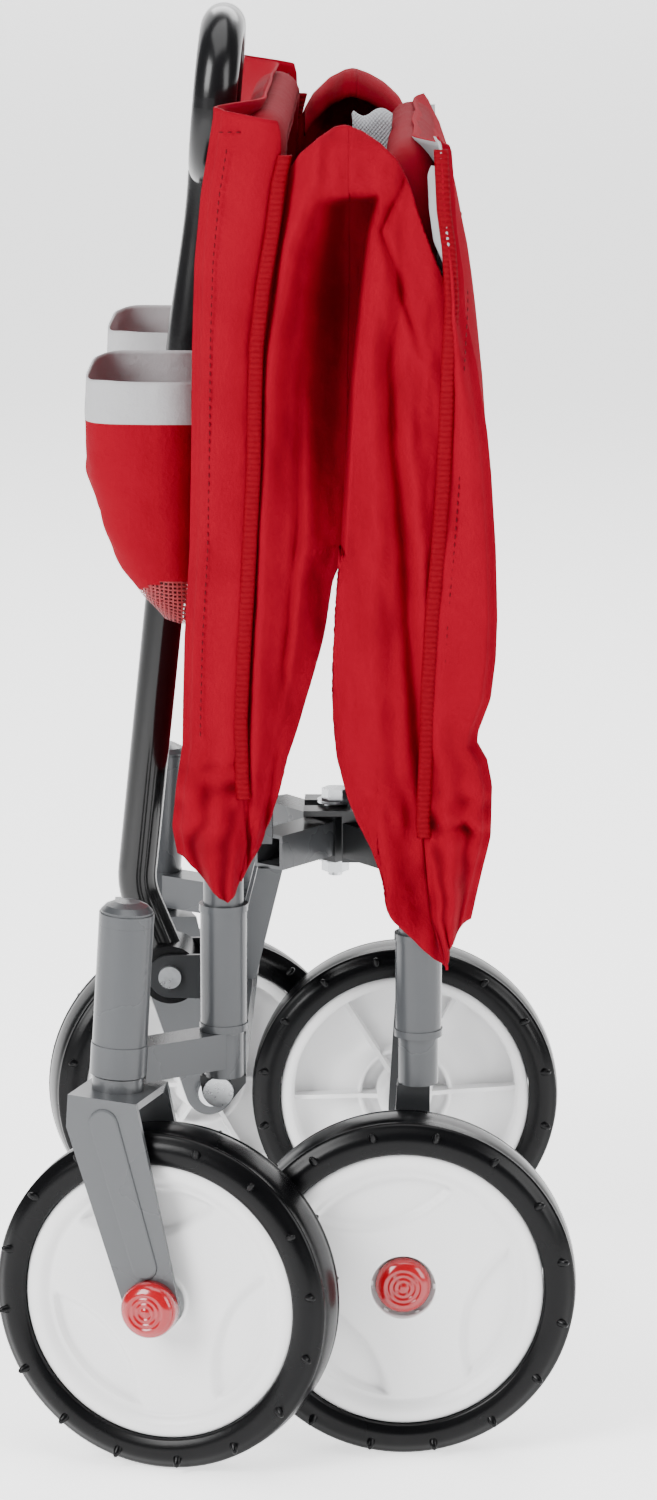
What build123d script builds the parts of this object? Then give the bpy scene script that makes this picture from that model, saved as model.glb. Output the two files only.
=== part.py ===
from build123d import *
import math
import os

# A folding pull wagon for children, standing folded. Millimetres, +Z up, floor at Z = 0,
# origin below the middle of the bounding box. The front (handle, casters) faces -X.

# ---------------------------------------------------------------- driving dimensions
wheel_r = 95.0               # outside radius of every tyre
tyre_half_w = 19.0
bead_r = 77.0                # where the tyre meets the white disc
rear_wheel_x, rear_wheel_y = 64.7, 192.5
axle_z = 95.0

post_r, post_wall = 11.0, 1.5
sleeve_r = 12.75
front_x, front_y = -34.0, 170.0      # front posts
rear_x, rear_y = 72.5, 158.0         # rear posts
front_top, rear_top = 728.0, 712.0
bend_z = 375.0                       # the upper frames lean together above this height
front_top_x, rear_top_x = -12.0, 67.0

lean = 3.48                  # rake of the caster stems, degrees
swivel = 17.0                # how far each caster is turned outwards as it stands
stem_x, stem_y, stem_z = -90.1, 207.0, 217.0
trail, drop = 35.5, 120.1644   # wheel centre behind and below the foot of the stem

floor_len = 295.0            # each half of the floor, hinge to hinge
hinge_front_x, hinge_rear_x, hinge_z = -16.5, 56.5, 345.0
rod_r, rod_bore = 4.0, 4.06

pivot = Vector(-70.5, 0, 223)        # the handle's pivot
hub_x, hub_z = 24.5, 303.0

middle_x = 1.3516            # the drawing is moved back by this to centre its bounding box
clear = 0.05                 # gap left where one tube is coped against another


# ---------------------------------------------------------------- small helpers
def rod(start, direction, radius, length):
    """A solid cylinder that starts at a point and runs along a direction."""
    plane = Plane(origin=start, z_dir=direction)
    return plane * Cylinder(radius, length, align=(Align.CENTER, Align.CENTER, Align.MIN))


def pipe(start, direction, outer, inner, length):
    """A straight hollow tube."""
    return rod(start, direction, outer, length) - rod(start, direction, inner, length)


def block(x0, x1, y0, y1, z0, z1):
    """A box from its six faces."""
    centre = Vector((x0 + x1) / 2, (y0 + y1) / 2, (z0 + z1) / 2)
    return Pos(centre) * Box(abs(x1 - x0), abs(y1 - y0), abs(z1 - z0))


def square_tube(start, end, side, wall):
    """A hollow square tube between two points, two of its faces upright."""
    run = Vector(*end) - Vector(*start)
    across = Vector(0, 0, 1).cross(run).normalized()
    plane = Plane(origin=start, x_dir=across, z_dir=run)
    low = (Align.CENTER, Align.CENTER, Align.MIN)
    shell = Box(side, side, run.length, align=low)
    hole = Box(side - 2 * wall, side - 2 * wall, run.length, align=low)
    return plane * (shell - hole)


def bent_tube(points, radii, outer, inner):
    """A bent hollow tube along a filleted polyline."""
    path = FilletPolyline(*points, radius=radii)
    start = Plane(origin=path @ 0, z_dir=path % 0)
    return sweep(start * Circle(outer) - start * Circle(inner), path)


def turned(profile):
    """A solid turned about the Y axis from (radius, y) points."""
    face = make_face(Polyline(*[(r, y, 0) for r, y in profile], close=True))
    return revolve(face, Axis.Y)


def both(near):
    """The near part and its mirror image on the far side."""
    return [near, mirror(near, about=Plane.XZ)]


parts = {}


# ---------------------------------------------------------------- wheels
def tyre():
    """A solid tyre about the Y axis: crowned tread, rounded shoulders, flat sides."""
    w = tyre_half_w
    tread = ThreePointArc((94.0, -12), (wheel_r, 0), (94.0, 12))
    right = ThreePointArc((94.0, 12), (91.6, w - 2.4), (86.5, w))
    left = ThreePointArc((86.5, -w), (91.6, 2.4 - w), (94.0, -12))
    side = Polyline((86.5, w), (80, w), (bead_r, w - 2.5), (bead_r, 2.5 - w), (80, -w), (86.5, -w))
    return revolve(make_face([left, tread, right, side]), Axis.Y)


def disc(bore_r, boss_in, boss_out, cup_r):
    """The white moulded disc about the Y axis. Outboard is -Y, ribs are inboard."""
    rim_r = bead_r - clear
    shell = turned([(rim_r, -15), (71, -15), (69, -10), (cup_r + 3, -10), (cup_r, boss_out),
                    (cup_r, -4), (bore_r, -4), (bore_r, boss_in), (16, boss_in), (18, -5),
                    (68, -5), (70.5, 14), (rim_r, 14)])
    ribs = [Rot(Y=60 * n) * block(15.5, 69, -6, 5, -1.5, 1.5) for n in range(6)]
    ring = turned([(29.5, -6), (29.5, 5), (26.5, 5), (26.5, -6)])
    return shell + ribs + ring


def cap(y0, radius, hole_r, hole_y, dome):
    """A red push cap about the Y axis, its domed face towards -Y."""
    return turned([(0.0001, y0 - dome), (radius * 0.45, y0 - dome + 0.4), (radius * 0.85, y0 - dome + 2.2),
                   (radius, y0 - dome + 5), (radius, y0), (hole_r, y0), (hole_r, hole_y),
                   (0.0001, hole_y)])


rear_hub = Pos(rear_wheel_x, -rear_wheel_y, axle_z)
rear_set = {
    "tyre_rear": rear_hub * tyre(),
    "disc_rear": rear_hub * disc(6.06, 17, -11, 17.8),
    "cap_rear": rear_hub * cap(-4.3, 15.4, 6.2, -11.5, 8.5),
}
for name, near in rear_set.items():
    parts[name + "_near"], parts[name + "_far"] = both(near)

# ---------------------------------------------------------------- casters
# The stem leans back by `lean`; the caster is turned about it by `swivel`.
stem_plane = Plane(Location((stem_x, -stem_y, stem_z), (0, lean, 0)))
caster = stem_plane.location * Rot(Z=-swivel)
hub = Pos(trail, 0, -drop)

leg_face = make_hull(
    (Pos(0.5, -17.5) * Rectangle(39, 18)).edges() + (Pos(trail, -drop) * Circle(15.5)).edges()
)
leg = extrude(Plane.XZ * leg_face, amount=3)
leg = leg - hub * rod((0, -10, 0), (0, 1, 0), 5.05, 20)
fork = Pos(0, -23, 0) * leg + Pos(0, 26, 0) * leg + block(-19, 20, -26, 26, -13, -8.5)
fork = fork + rod((0, 0, -9), (0, 0, 1), 14.0, 8) + rod((0, 0, -2), (0, 0, 1), 8.0, 84)

caster_set = {
    "fork": fork,
    "front_axle": hub * (rod((0, -27.5, 0), (0, 1, 0), 5.0, 58.5)
                         + rod((0, 26.05, 0), (0, 1, 0), 9.0, 4.5)),
    "front_cap": hub * Pos(0, -26.05, 0) * cap(0, 15.5, 5.1, -1.6, 11.5),
    "tyre_front": hub * tyre(),
    "disc_front": hub * disc(5.06, 19, -14, 14.5),
}
for name, near in caster_set.items():
    parts[name + "_near"], parts[name + "_far"] = both(caster * near)

# ---------------------------------------------------------------- front lower frame
up = (0, 0, 1)
leg_bottom, joint_z = 206.0, 268.0
near_leg = (front_x, -front_y)
cope = rod((*near_leg, 150), up, post_r + clear, 400)
stem_at = stem_plane.location

collar = 17.0                        # the housing's foot is thicker, where the arm is welded
housing = stem_at * (pipe((0, 0, 0), up, 15.0, 11.0, 83) + pipe((0, 0, 0), up, 15.5, 11.0, collar))
housing_cope = stem_at * rod((0, 0, -40), up, 15.5 + clear, 160)
parts["caster_housings"] = Compound(children=both(housing))
bush = pipe((0, 0, 0), up, 10.95, 8.06, 14)
bushes = [stem_at * bush, stem_at * Pos(0, 0, 69) * bush]
parts["caster_bushes"] = Compound(children=[s for b in bushes for s in both(b)])
cap_points = [(0, 96.5), (7, 95.9), (11.6, 93.8), (14.2, 91), (14.2, 89.6), (15.0, 89.6),
              (15.0, 83.05), (0, 83.05)]
cap_face = make_face(Polyline(*[(r, 0, z) for r, z in cap_points], close=True))
cap_hollow = rod((0, 0, 83.05), up, 10.0, 5)
stem_cap = stem_at * (revolve(cap_face, Axis.Z) - cap_hollow)
parts["caster_caps"] = Compound(children=both(stem_cap))

arm_z = 222.0
arm_lean = (arm_z - stem_z) * math.tan(math.radians(lean))
arm_start = (stem_x + arm_lean, -stem_y, arm_z)
arm = square_tube(arm_start, (*near_leg, arm_z), 20, 2) - housing_cope - cope
arm = arm - block(front_x - 12 - clear, 60, -front_y, 0, 190, 250)
parts["caster_arms"] = Compound(children=both(arm.solids().sort_by(SortBy.VOLUME)[-1]))

near_post = pipe((*near_leg, leg_bottom), up, post_r, post_r - post_wall, joint_z - leg_bottom)
parts["front_legs"] = Compound(children=both(near_post))
sleeve = pipe((*near_leg, 236.2), up, sleeve_r, post_r + clear, 62.8)
parts["front_sleeves"] = Compound(children=both(sleeve))
ring = pipe((0, 0, 0), up, 13.4, post_r + clear, 4)
rings = [Pos(*near_leg, z) * ring for z in (232.2, 299.0)]
parts["front_sleeve_rings"] = Compound(children=[s for r in rings for s in both(r)])

cross_z = 217.0
cross = square_tube((front_x, -front_y, cross_z), (front_x, front_y, cross_z), 24, 2)
cross = cross - cope - mirror(cope, about=Plane.XZ)
parts["front_cross_tube"] = cross.solids().sort_by(SortBy.VOLUME)[-1]

# Plates under the legs carry the tie rod, whose broad heads show on the outside.
pin_x, pin_z = -37.0, 197.5
plate = Pos(0, -front_y, 0) * extrude(
    Plane.XZ * make_hull((Pos(pin_x, pin_z) * Circle(9)).edges()
                         + (Pos(front_x - 0.5, leg_bottom - 2) * Rectangle(25, 4)).edges()), amount=3)
plate = plate - block(-200, 200, -200, 0, leg_bottom, 300)
plate = plate - rod((pin_x, -front_y - 10, pin_z), (0, 1, 0), 5.05, 30)
parts["pin_plates"] = Compound(children=both(plate))
head = rod((pin_x, -front_y - 6.5, pin_z), (0, 1, 0), 8.3, 3.4)
shaft = rod((pin_x, -front_y - 4, pin_z), (0, 1, 0), 5.0, 2 * front_y + 8)
parts["tie_rod"] = shaft + both(head)

# ---------------------------------------------------------------- handle and its clevis
ear = extrude(Plane.XZ * make_hull((Pos(pivot.X, pivot.Z) * Circle(12.5)).edges()
                                   + (Pos(-48.5, pivot.Z) * Rectangle(5, 26)).edges()), amount=3)
clevis = Pos(0, -19, 0) * ear + Pos(0, 22, 0) * ear + block(-49, -46, -22, 22, 210, 236)
clevis = clevis - rod((pivot.X, -30, pivot.Z), (0, 1, 0), 4.55, 60)
parts["handle_clevis"] = clevis
screw = rod((pivot.X, -22, pivot.Z), (0, 1, 0), 4.5, 49)
screw = screw + rod((pivot.X, -25.2, pivot.Z), (0, 1, 0), 6.5, 3.15)
nut = extrude(Plane((pivot.X, 22.05, pivot.Z), z_dir=(0, 1, 0)) * RegularPolygon(7.5, 6), amount=5)
nut = nut - rod((pivot.X, 20, pivot.Z), (0, 1, 0), 4.52, 10)
parts["handle_bolt"] = Compound(children=[screw, nut])

barrel = rod((pivot.X, -18.4, pivot.Z), (0, 1, 0), 17.0, 36.8)
parts["handle_barrel"] = barrel - rod((pivot.X, -20, pivot.Z), (0, 1, 0), 4.56, 40)
tube_r, grip_bottom = 11.2, 582.0
tube_path = [(-56.0, 0, 602.0), (-91.0, 0, 272.0), (-72.0, 0, 226.0)]
tube = bent_tube(tube_path, 42.0, tube_r, tube_r - 1.5)
tube = tube - rod((pivot.X, -40, pivot.Z), (0, 1, 0), 17.0 + clear, 80)
parts["handle_tube"] = tube.solids().sort_by(SortBy.VOLUME)[-1]

tube_up = (Vector(*tube_path[0]) - Vector(*tube_path[1])).normalized()
neck_points = [((-58.1, 0, 582.0), 13.6), ((-56.6, 0, 596.0), 13.4), ((-52.5, 0, 636.0), 11.4),
               ((-47.0, 0, 684.0), 11.6)]
neck_rings = [Plane(origin=p, x_dir=(0, 1, 0), z_dir=tube_up) * Circle(r) for p, r in neck_points]
neck = loft(neck_rings, ruled=False)
loop_path = Plane(origin=(-41.8, 0, 727.0), x_dir=(0, 1, 0), z_dir=(-1, 0, 0.09)) * (
    RectangleRounded(92, 78, 36).wire())
loop_start = Plane(origin=loop_path @ 0, z_dir=loop_path % 0)
loop = sweep(loop_start * Circle(12.2), loop_path)
socket = rod(Vector(*tube_path[0]) - tube_up * 40, tube_up, tube_r + clear, 40)
parts["handle_grip"] = neck + loop - socket

# ---------------------------------------------------------------- front upper frame, floor hinge
top = front_top - post_r
near_side = [(*near_leg, joint_z + 0.05), (*near_leg, bend_z), (front_top_x, -front_y, top)]
far_side = [(x, -y, z) for x, y, z in reversed(near_side)]
parts["front_upper_frame"] = bent_tube(near_side + far_side, [150, 42, 42, 150],
                                       post_r, post_r - post_wall)


def hinge_block(x0, x1, y0, y1, hinge_x, post):
    """A moulded block between a post and the floor's hinge rod, near side."""
    body = block(x0, x1, -y0, -y1, hinge_z - 10, hinge_z + 10)
    return body - post - rod((hinge_x, -300, hinge_z), (0, 1, 0), rod_bore, 600)


front_block = hinge_block(front_x, -7.5, 166, 141, hinge_front_x, cope)
front_block = front_block.solids().sort_by(SortBy.VOLUME)[-1]
parts["front_hinge_blocks"] = Compound(children=both(front_block))
parts["front_hinge_rod"] = rod((hinge_front_x, -168, hinge_z), (0, 1, 0), rod_r, 336)

# ---------------------------------------------------------------- folding floor
# Seen from the side the two halves stand as an inverted V; each is drawn flat along +X
# from its hinge with its top upwards, then turned up to where it stands.
fold_angle = math.degrees(math.acos((hinge_rear_x - hinge_front_x) / 2 / floor_len))
apex_x = (hinge_front_x + hinge_rear_x) / 2
apex_z = hinge_z + floor_len * math.sin(math.radians(fold_angle))
stand_front = Pos(hinge_front_x, 0, hinge_z) * Rot(Y=-fold_angle)
stand_rear = Pos(hinge_rear_x, 0, hinge_z) * Rot(Z=180) * Rot(Y=-fold_angle)


def floor_frame(rail_y, cross_at, apex_y0, apex_y1):
    """Two rails, hinge barrels at both ends and a cross rail, lying along +X."""
    body = rod((0, -140.5, 0), (0, 1, 0), 7.0, 281)
    for side in (-1, 1):
        body = body + rod((0, side * rail_y, 0), (1, 0, 0), 6.0, floor_len)
        mid = side * (apex_y0 + apex_y1) / 2
        body = body + rod((floor_len, mid - (apex_y1 - apex_y0) / 2, 0), (0, 1, 0), 7.0, apex_y1 - apex_y0)
    body = body + rod((cross_at, -rail_y, 0), (0, 1, 0), 5.0, 2 * rail_y)
    for x in (0, floor_len):
        body = body - rod((x, -200, 0), (0, 1, 0), rod_bore, 400)
    return body


board = block(22, 284, -138, 138, 7.0, 11.0)
pad = block(60, 262, -136, 136, 11.3, 19.3).fillet(3, block(60, 262, -136, 136, 11.3, 19.3).edges())     if False else block(60, 262, -136, 136, 11.3, 19.3)
parts["floor_frame_front"] = stand_front * floor_frame(119, 250, 112, 126)
parts["floor_frame_rear"] = stand_rear * floor_frame(133.5, 225, 126.5, 140.5)
parts["floor_board_front"] = stand_front * board
parts["floor_board_rear"] = stand_rear * board
parts["floor_pad_front"] = stand_front * pad
parts["floor_pad_rear"] = stand_rear * pad
parts["apex_hinge_rod"] = rod((apex_x, -144, apex_z), (0, 1, 0), rod_r, 288)

strap_ring = Pos(45.0, 673.0) * (RectangleRounded(17, 94, 8.4) - RectangleRounded(12.4, 89.4, 6.1))
parts["pull_strap"] = Pos(0, 17, 0) * extrude(Plane.XZ * strap_ring, amount=34)

# ---------------------------------------------------------------- hub under the floor
box_half = 13.0
hub_plane = Pos(hub_x, 0, hub_z) * Rot(Z=45)
hub_box = hub_plane * Box(2 * box_half, 2 * box_half, 26)
hub_hole = rod((hub_x, 0, 200), up, 4.1, 200)
parts["hub_block"] = hub_box - hub_hole
arm_dir = Vector(-math.sin(math.radians(37)), -math.cos(math.radians(37)), 0)
hub_arm_end = Vector(hub_x, 0, 304) + arm_dir * 62
hub_arm = square_tube((hub_x, 0, 304), tuple(hub_arm_end), 20, 2) - hub_plane * Box(26.1, 26.1, 40)
hub_arm = hub_arm.solids().sort_by(SortBy.VOLUME)[-1]
hub_arm = hub_arm - block(-200, 200, 0, 200, 200, 400)
stay_x, stay_y = hub_arm_end.X + 5, hub_arm_end.Y + 6
stay = square_tube((-31, stay_y, 215), (stay_x, stay_y, 310), 14, 1.5)
stay = stay - block(-80, 40, -100, 0, 293.95, 400) - block(-80, 40, -100, 0, 150, 229.05)
parts["hub_braces_front"] = Compound(children=both(hub_arm) + both(stay))

bolt_head = Pos(hub_x, 0, 323.6) * extrude(RegularPolygon(8.0, 6), amount=6.5)
flange = rod((hub_x, 0, 322.0), up, 10.5, 1.6)
hub_bolt = flange + bolt_head + rod((hub_x, 0, 279), up, 4.0, 44)
hub_nut = extrude(Pos(hub_x, 0, 281.5) * RegularPolygon(8.0, 6), amount=6.5)
hub_nut = hub_nut + rod((hub_x, 0, 288.0), up, 10.0, 1.9) - rod((hub_x, 0, 270), up, 4.05, 30)
hub_spacer = pipe((hub_x, 0, 316.05), up, 6.5, 4.05, 5.9)
parts["hub_bolt"] = Compound(children=[hub_bolt, hub_nut, hub_spacer])

# The rear bracket is open to the front, so it slides off the hub as the wagon unfolds.
bracket = block(hub_x - 18, hub_x + 22.5, -22.5, 22.5, 318, 321.2)
bracket = bracket + block(hub_x + 19.5, hub_x + 22.5, -22.5, 22.5, 291, 318)
for side in (-1, 1):
    bracket = bracket + block(hub_x + 4, hub_x + 22.5, side * 19.3, side * 22.5, 291, 318)
bracket = bracket - block(hub_x - 40, hub_x, -7, 7, 317, 322) - rod((hub_x, 0, 317), up, 7.0, 6)
rear_cross_x = rear_x - 12
rear_arm = square_tube((hub_x, 0, 304), (hub_x + 62 * math.sin(math.radians(37)),
                                         -62 * math.cos(math.radians(37)), 304), 20, 2)
rear_arm = rear_arm - block(hub_x - 40, hub_x + 22.5, -22.55, 60, 200, 400)
rear_arm = rear_arm - block(rear_cross_x - clear, 200, -200, 200, 200, 400)
rear_arm = rear_arm.solids().sort_by(SortBy.VOLUME)[-1]
parts["hub_bracket"] = Compound(children=[bracket] + both(rear_arm))

# ---------------------------------------------------------------- rear frame
rear_leg_xy = (rear_x, -rear_y)
rear_cope = rod((*rear_leg_xy, 100), up, post_r + clear, 500)
rear_joint = 252.0
top = rear_top - post_r
near_side = [(*rear_leg_xy, rear_joint + 0.05), (*rear_leg_xy, bend_z), (rear_top_x, -rear_y, top)]
far_side = [(x, -y, z) for x, y, z in reversed(near_side)]
parts["rear_upper_frame"] = bent_tube(near_side + far_side, [150, 42, 42, 150],
                                      post_r, post_r - post_wall)
rear_leg = pipe((*rear_leg_xy, 199), up, post_r, post_r - post_wall, rear_joint - 199)
parts["rear_legs"] = Compound(children=both(rear_leg))
rear_sleeve = pipe((*rear_leg_xy, 230), up, sleeve_r, post_r + clear, 50)
parts["rear_sleeves"] = Compound(children=both(rear_sleeve))
rings = [Pos(*rear_leg_xy, z) * ring for z in (226.0, 280.0)]
parts["rear_sleeve_rings"] = Compound(children=[s for r in rings for s in both(r)])
rear_cross = square_tube((rear_x, -rear_y, 305), (rear_x, rear_y, 305), 24, 2)
rear_cross = rear_cross - rear_cope - mirror(rear_cope, about=Plane.XZ)
parts["rear_cross_tube"] = rear_cross.solids().sort_by(SortBy.VOLUME)[-1]

bar = extrude(Plane.XZ * make_hull((Pos(rear_wheel_x, axle_z) * Circle(10)).edges()
                                   + (Pos(70, 190) * Rectangle(18, 17.9)).edges()), amount=14)
bar = Pos(0, -rear_y + 7, 0) * bar - rod((rear_wheel_x, -300, axle_z), (0, 1, 0), 6.05, 600)
parts["axle_brackets"] = Compound(children=both(bar))
parts["rear_axle"] = rod((rear_wheel_x, -203.5, axle_z), (0, 1, 0), 6.0, 407)
rear_block = hinge_block(47.5, rear_x, 164, 141, hinge_rear_x, rear_cope)
rear_block = rear_block.solids().sort_by(SortBy.VOLUME)[-1]
rear_rod = rod((hinge_rear_x, -166, hinge_z), (0, 1, 0), rod_r, 332)
parts["rear_hinge"] = Compound(children=both(rear_block) + [rear_rod])

# ---------------------------------------------------------------- fabric, as plain closed shapes


def upright_sheet(centre_line, half, half_width):
    """A thin sheet that spans the wagon's width and follows an (x, z) line upwards."""
    front = [(x - half, z) for x, z in centre_line]
    back = [(x + half, z) for x, z in reversed(centre_line)]
    face = make_face(Plane.XZ * Polyline(*front, *back, close=True))
    return Pos(0, half_width, 0) * extrude(face, amount=2 * half_width, dir=(0, -1, 0))


parts["front_panel"] = upright_sheet([(-49.5, 320), (-49.5, 370), (-26.0, 736)], 2.0, 187)
parts["rear_panel"] = upright_sheet([(96.0, 280), (95.0, 400), (82.5, 722)], 2.0, 187)
wall_front = [(-46, 322), (-46, 372), (-22, 734), (-2, 734), (-8, 322)]
wall_rear = [(44, 285), (46, 718), (79, 718), (91.5, 400), (92.5, 285)]
for name, outline in (("side_walls_front", wall_front), ("side_walls_rear", wall_rear)):
    face = make_face(Plane.XZ * Polyline(*outline, close=True))
    wall = Pos(0, -184.5, 0) * extrude(face, amount=5, dir=(0, -1, 0))
    parts[name] = Compound(children=both(wall))
pocket = block(-109, -52, -166, -38, 458, 590) - block(-107, -54, -164, -40, 460, 600)
parts["pocket_near"], parts["pocket_far"] = both(pocket)

os.makedirs("parts", exist_ok=True)
for name, shape in parts.items():
    export_step(Pos(-middle_x, 0, 0) * shape, f"parts/{name}.step")
print(len(parts), "nodes")
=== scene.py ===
# %% [markdown]
# # A child's pull wagon, folded to stand on its wheels
#
# The wagon is a steel frame in two halves that hinge together, with a canvas tub
# between them. Folded, the floor boards stand up like a tent, the two end panels
# come close together and the side walls hang between them as a double fold.
# The metal and hard plastic come from the engineering model, node by node. This
# lesson gives them their finishes, remakes the moulded wheels with their relief,
# and sews the canvas.

# %% Load the packed model as a fixed frame
import math
import bmesh
import bpy
import numpy as np
from mathutils import Matrix, Vector, noise


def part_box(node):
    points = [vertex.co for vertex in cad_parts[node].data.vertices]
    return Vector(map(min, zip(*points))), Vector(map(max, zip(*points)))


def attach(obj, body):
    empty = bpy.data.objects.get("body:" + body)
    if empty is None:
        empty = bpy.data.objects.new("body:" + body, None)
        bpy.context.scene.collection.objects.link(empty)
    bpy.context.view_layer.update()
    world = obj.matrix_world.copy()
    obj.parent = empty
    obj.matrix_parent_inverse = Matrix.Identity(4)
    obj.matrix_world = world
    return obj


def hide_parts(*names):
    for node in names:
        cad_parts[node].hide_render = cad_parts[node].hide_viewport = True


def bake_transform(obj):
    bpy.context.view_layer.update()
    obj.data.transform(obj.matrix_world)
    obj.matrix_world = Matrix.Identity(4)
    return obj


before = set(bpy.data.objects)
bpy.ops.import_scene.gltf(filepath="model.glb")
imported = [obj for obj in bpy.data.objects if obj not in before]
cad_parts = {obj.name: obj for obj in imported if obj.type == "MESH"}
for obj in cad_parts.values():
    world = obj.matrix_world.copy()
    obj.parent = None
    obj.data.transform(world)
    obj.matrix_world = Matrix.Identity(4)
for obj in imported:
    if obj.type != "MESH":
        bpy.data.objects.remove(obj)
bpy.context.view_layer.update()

# %% [markdown]
# ## Units and small curves
#
# Sizes are easier to read in millimetres, so shapes are worked out in millimetres
# and divided by 1000 when a mesh is made. Many edges of the canvas are known as a
# list of (height, forward place) pairs. `follow` reads such a list at any height,
# and `soften` rounds off its corners.

# %% Millimetres, and reading a list of points
MM = 0.001


def smooth(edge0, edge1, value):
    t = min(1.0, max(0.0, (value - edge0) / (edge1 - edge0)))
    return t * t * (3 - 2 * t)


def mix(a, b, t):
    return a + (b - a) * t


def shares(count):
    """Even steps from 0 to 1."""
    return [k / count for k in range(count + 1)]


def follow(points, value):
    """The second number of the points at this first number, joined by straight runs."""
    points = sorted(points)
    return float(np.interp(value, [p[0] for p in points], [p[1] for p in points]))


def soften(points, count, rounds):
    """The same line with this many points and rounded corners."""
    xs = np.array([p[0] for p in points], float)
    zs = np.array([p[1] for p in points], float)
    run = np.concatenate([[0], np.cumsum(np.hypot(np.diff(xs), np.diff(zs)))])
    at = np.linspace(0, run[-1], count)
    fine = np.stack([np.interp(at, run, xs), np.interp(at, run, zs)], 1)
    kept = fine.copy()
    for _ in range(rounds):
        kept[1:-1] = (kept[:-2] + 2 * kept[1:-1] + kept[2:]) / 4
    return [tuple(p) for p in kept]


print("follow:", follow([(0, 0), (10, 5)], 4))

# %% [markdown]
# ## Shader sums written as Python
#
# A procedural material is a small sum done at every point of the surface. `Wire`
# wraps an output socket, so `1 - wire * 2` adds the Math nodes for that sum.
# `Paint` starts a material, and its one method `node` adds any other node: its
# settings first, then the numbers or wires of its sockets.

# %% The wire and the paint
# The Mix node has sockets for numbers, vectors and colours; these are its colours'.
COLOUR_A, COLOUR_B, MIXED_COLOUR = 6, 7, 2


class Wire:
    def __init__(self, paint, socket):
        self.paint = paint
        self.socket = socket

    def sum(self, operation, first, second):
        return self.paint.node("ShaderNodeMath", {"operation": operation},
                               {0: first, 1: second})

    def __add__(self, other):
        return self.sum("ADD", self, other)

    def __radd__(self, other):
        return self.sum("ADD", other, self)

    def __sub__(self, other):
        return self.sum("SUBTRACT", self, other)

    def __rsub__(self, other):
        return self.sum("SUBTRACT", other, self)

    def __mul__(self, other):
        return self.sum("MULTIPLY", self, other)

    def __rmul__(self, other):
        return self.sum("MULTIPLY", other, self)

    def sine(self):
        return self.sum("SINE", self, 0.0)


class Paint:
    def __init__(self, name):
        self.material = bpy.data.materials.new(name)
        self.material.use_nodes = True
        self.tree = self.material.node_tree
        self.tree.nodes.clear()

    def node(self, kind, settings=None, inputs=None, output=0):
        made = self.tree.nodes.new(kind)
        for key, value in (settings or {}).items():
            if key == "stops":
                ramp = made.color_ramp
                while len(ramp.elements) < len(value):
                    ramp.elements.new(0.5)
                for element, (place, colour) in zip(ramp.elements, value):
                    element.position = place
                    element.color = (*colour, 1)
            else:
                setattr(made, key, value)
        for key, value in (inputs or {}).items():
            if isinstance(value, Wire):
                self.tree.links.new(value.socket, made.inputs[key])
            else:
                made.inputs[key].default_value = value
        return Wire(self, made.outputs[output])

    def place(self):
        return self.node("ShaderNodeTexCoord", output="Object")

    def cloth_place(self):
        return self.node("ShaderNodeUVMap", {"uv_map": "cloth"}, output="UV")

    def speckle(self, scale, detail=3.0, place=None, rough=0.5):
        return self.node("ShaderNodeTexNoise", {}, {
            "Vector": place or self.place(), "Scale": scale, "Detail": detail,
            "Roughness": rough}, "Fac")

    def between(self, low, high, amount):
        """A colour between two colours, either of which may be a wire."""
        low, high = (c if isinstance(c, Wire) else (*c, 1) for c in (low, high))
        return self.node("ShaderNodeMix", {"data_type": "RGBA"}, {
            "Factor": amount, COLOUR_A: low, COLOUR_B: high}, MIXED_COLOUR)

    def bump(self, height, distance, strength=1.0, normal=None):
        sockets = {"Height": height, "Distance": distance, "Strength": strength}
        if normal is not None:
            sockets["Normal"] = normal
        return self.node("ShaderNodeBump", {}, sockets, "Normal")

    def finish(self, **sockets):
        names = {key.replace("_", " "): value for key, value in sockets.items()}
        skin = self.node("ShaderNodeBsdfPrincipled", {}, names, "BSDF")
        end = self.tree.nodes.new("ShaderNodeOutputMaterial")
        self.tree.links.new(skin.socket, end.inputs["Surface"])
        return self.material


print("paint makes:", [name for name in vars(Paint) if name[0] != "_"])

# %% [markdown]
# ## Finishes of the metal
#
# The frame is powder coated: a baked skin, slightly cloudy in colour and gloss,
# with a faint orange peel. Orange peel could be real relief in the mesh, but it is
# about a millimetre across, so a fine noise fed to Bump does it. Plain steel
# pressings are coated darker, and the bolts are zinc plated, bright with a
# broken, spangled grey that a cell pattern gives.

# %% Powder coat, dark steel and zinc
def coated(name, low, high, rough, peel=0.00006):
    paint = Paint(name)
    cloud = paint.speckle(14, 4)
    grain = paint.speckle(1100, 2)
    skin = paint.bump(grain, peel, 0.55)
    return paint.finish(
        Base_Color=paint.between(low, high, cloud),
        Roughness=cloud * 0.12 + (rough - 0.06),
        Metallic=0.15,
        Normal=skin)


frame_coat = coated("frame_coat", (0.046, 0.049, 0.053), (0.058, 0.061, 0.065), 0.28)
dark_coat = coated("dark_coat", (0.014, 0.015, 0.016), (0.022, 0.023, 0.025), 0.32)
fork_coat = coated("fork_coat", (0.060, 0.063, 0.067), (0.074, 0.077, 0.081), 0.28)


def plated():
    paint = Paint("zinc_plate")
    cells = paint.node("ShaderNodeTexVoronoi", {}, {
        "Vector": paint.place(), "Scale": 420.0}, "Distance")
    cloud = paint.speckle(60, 3)
    tone = cells * 0.35 + cloud * 0.65
    return paint.finish(
        Base_Color=paint.between((0.46, 0.47, 0.48), (0.72, 0.74, 0.76), tone),
        Roughness=tone * 0.2 + 0.2, Metallic=0.95,
        Normal=paint.bump(cloud, 0.00004, 0.5))


zinc = plated()
print("metal finishes:", [m.name for m in (frame_coat, dark_coat, fork_coat, zinc)])

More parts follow.
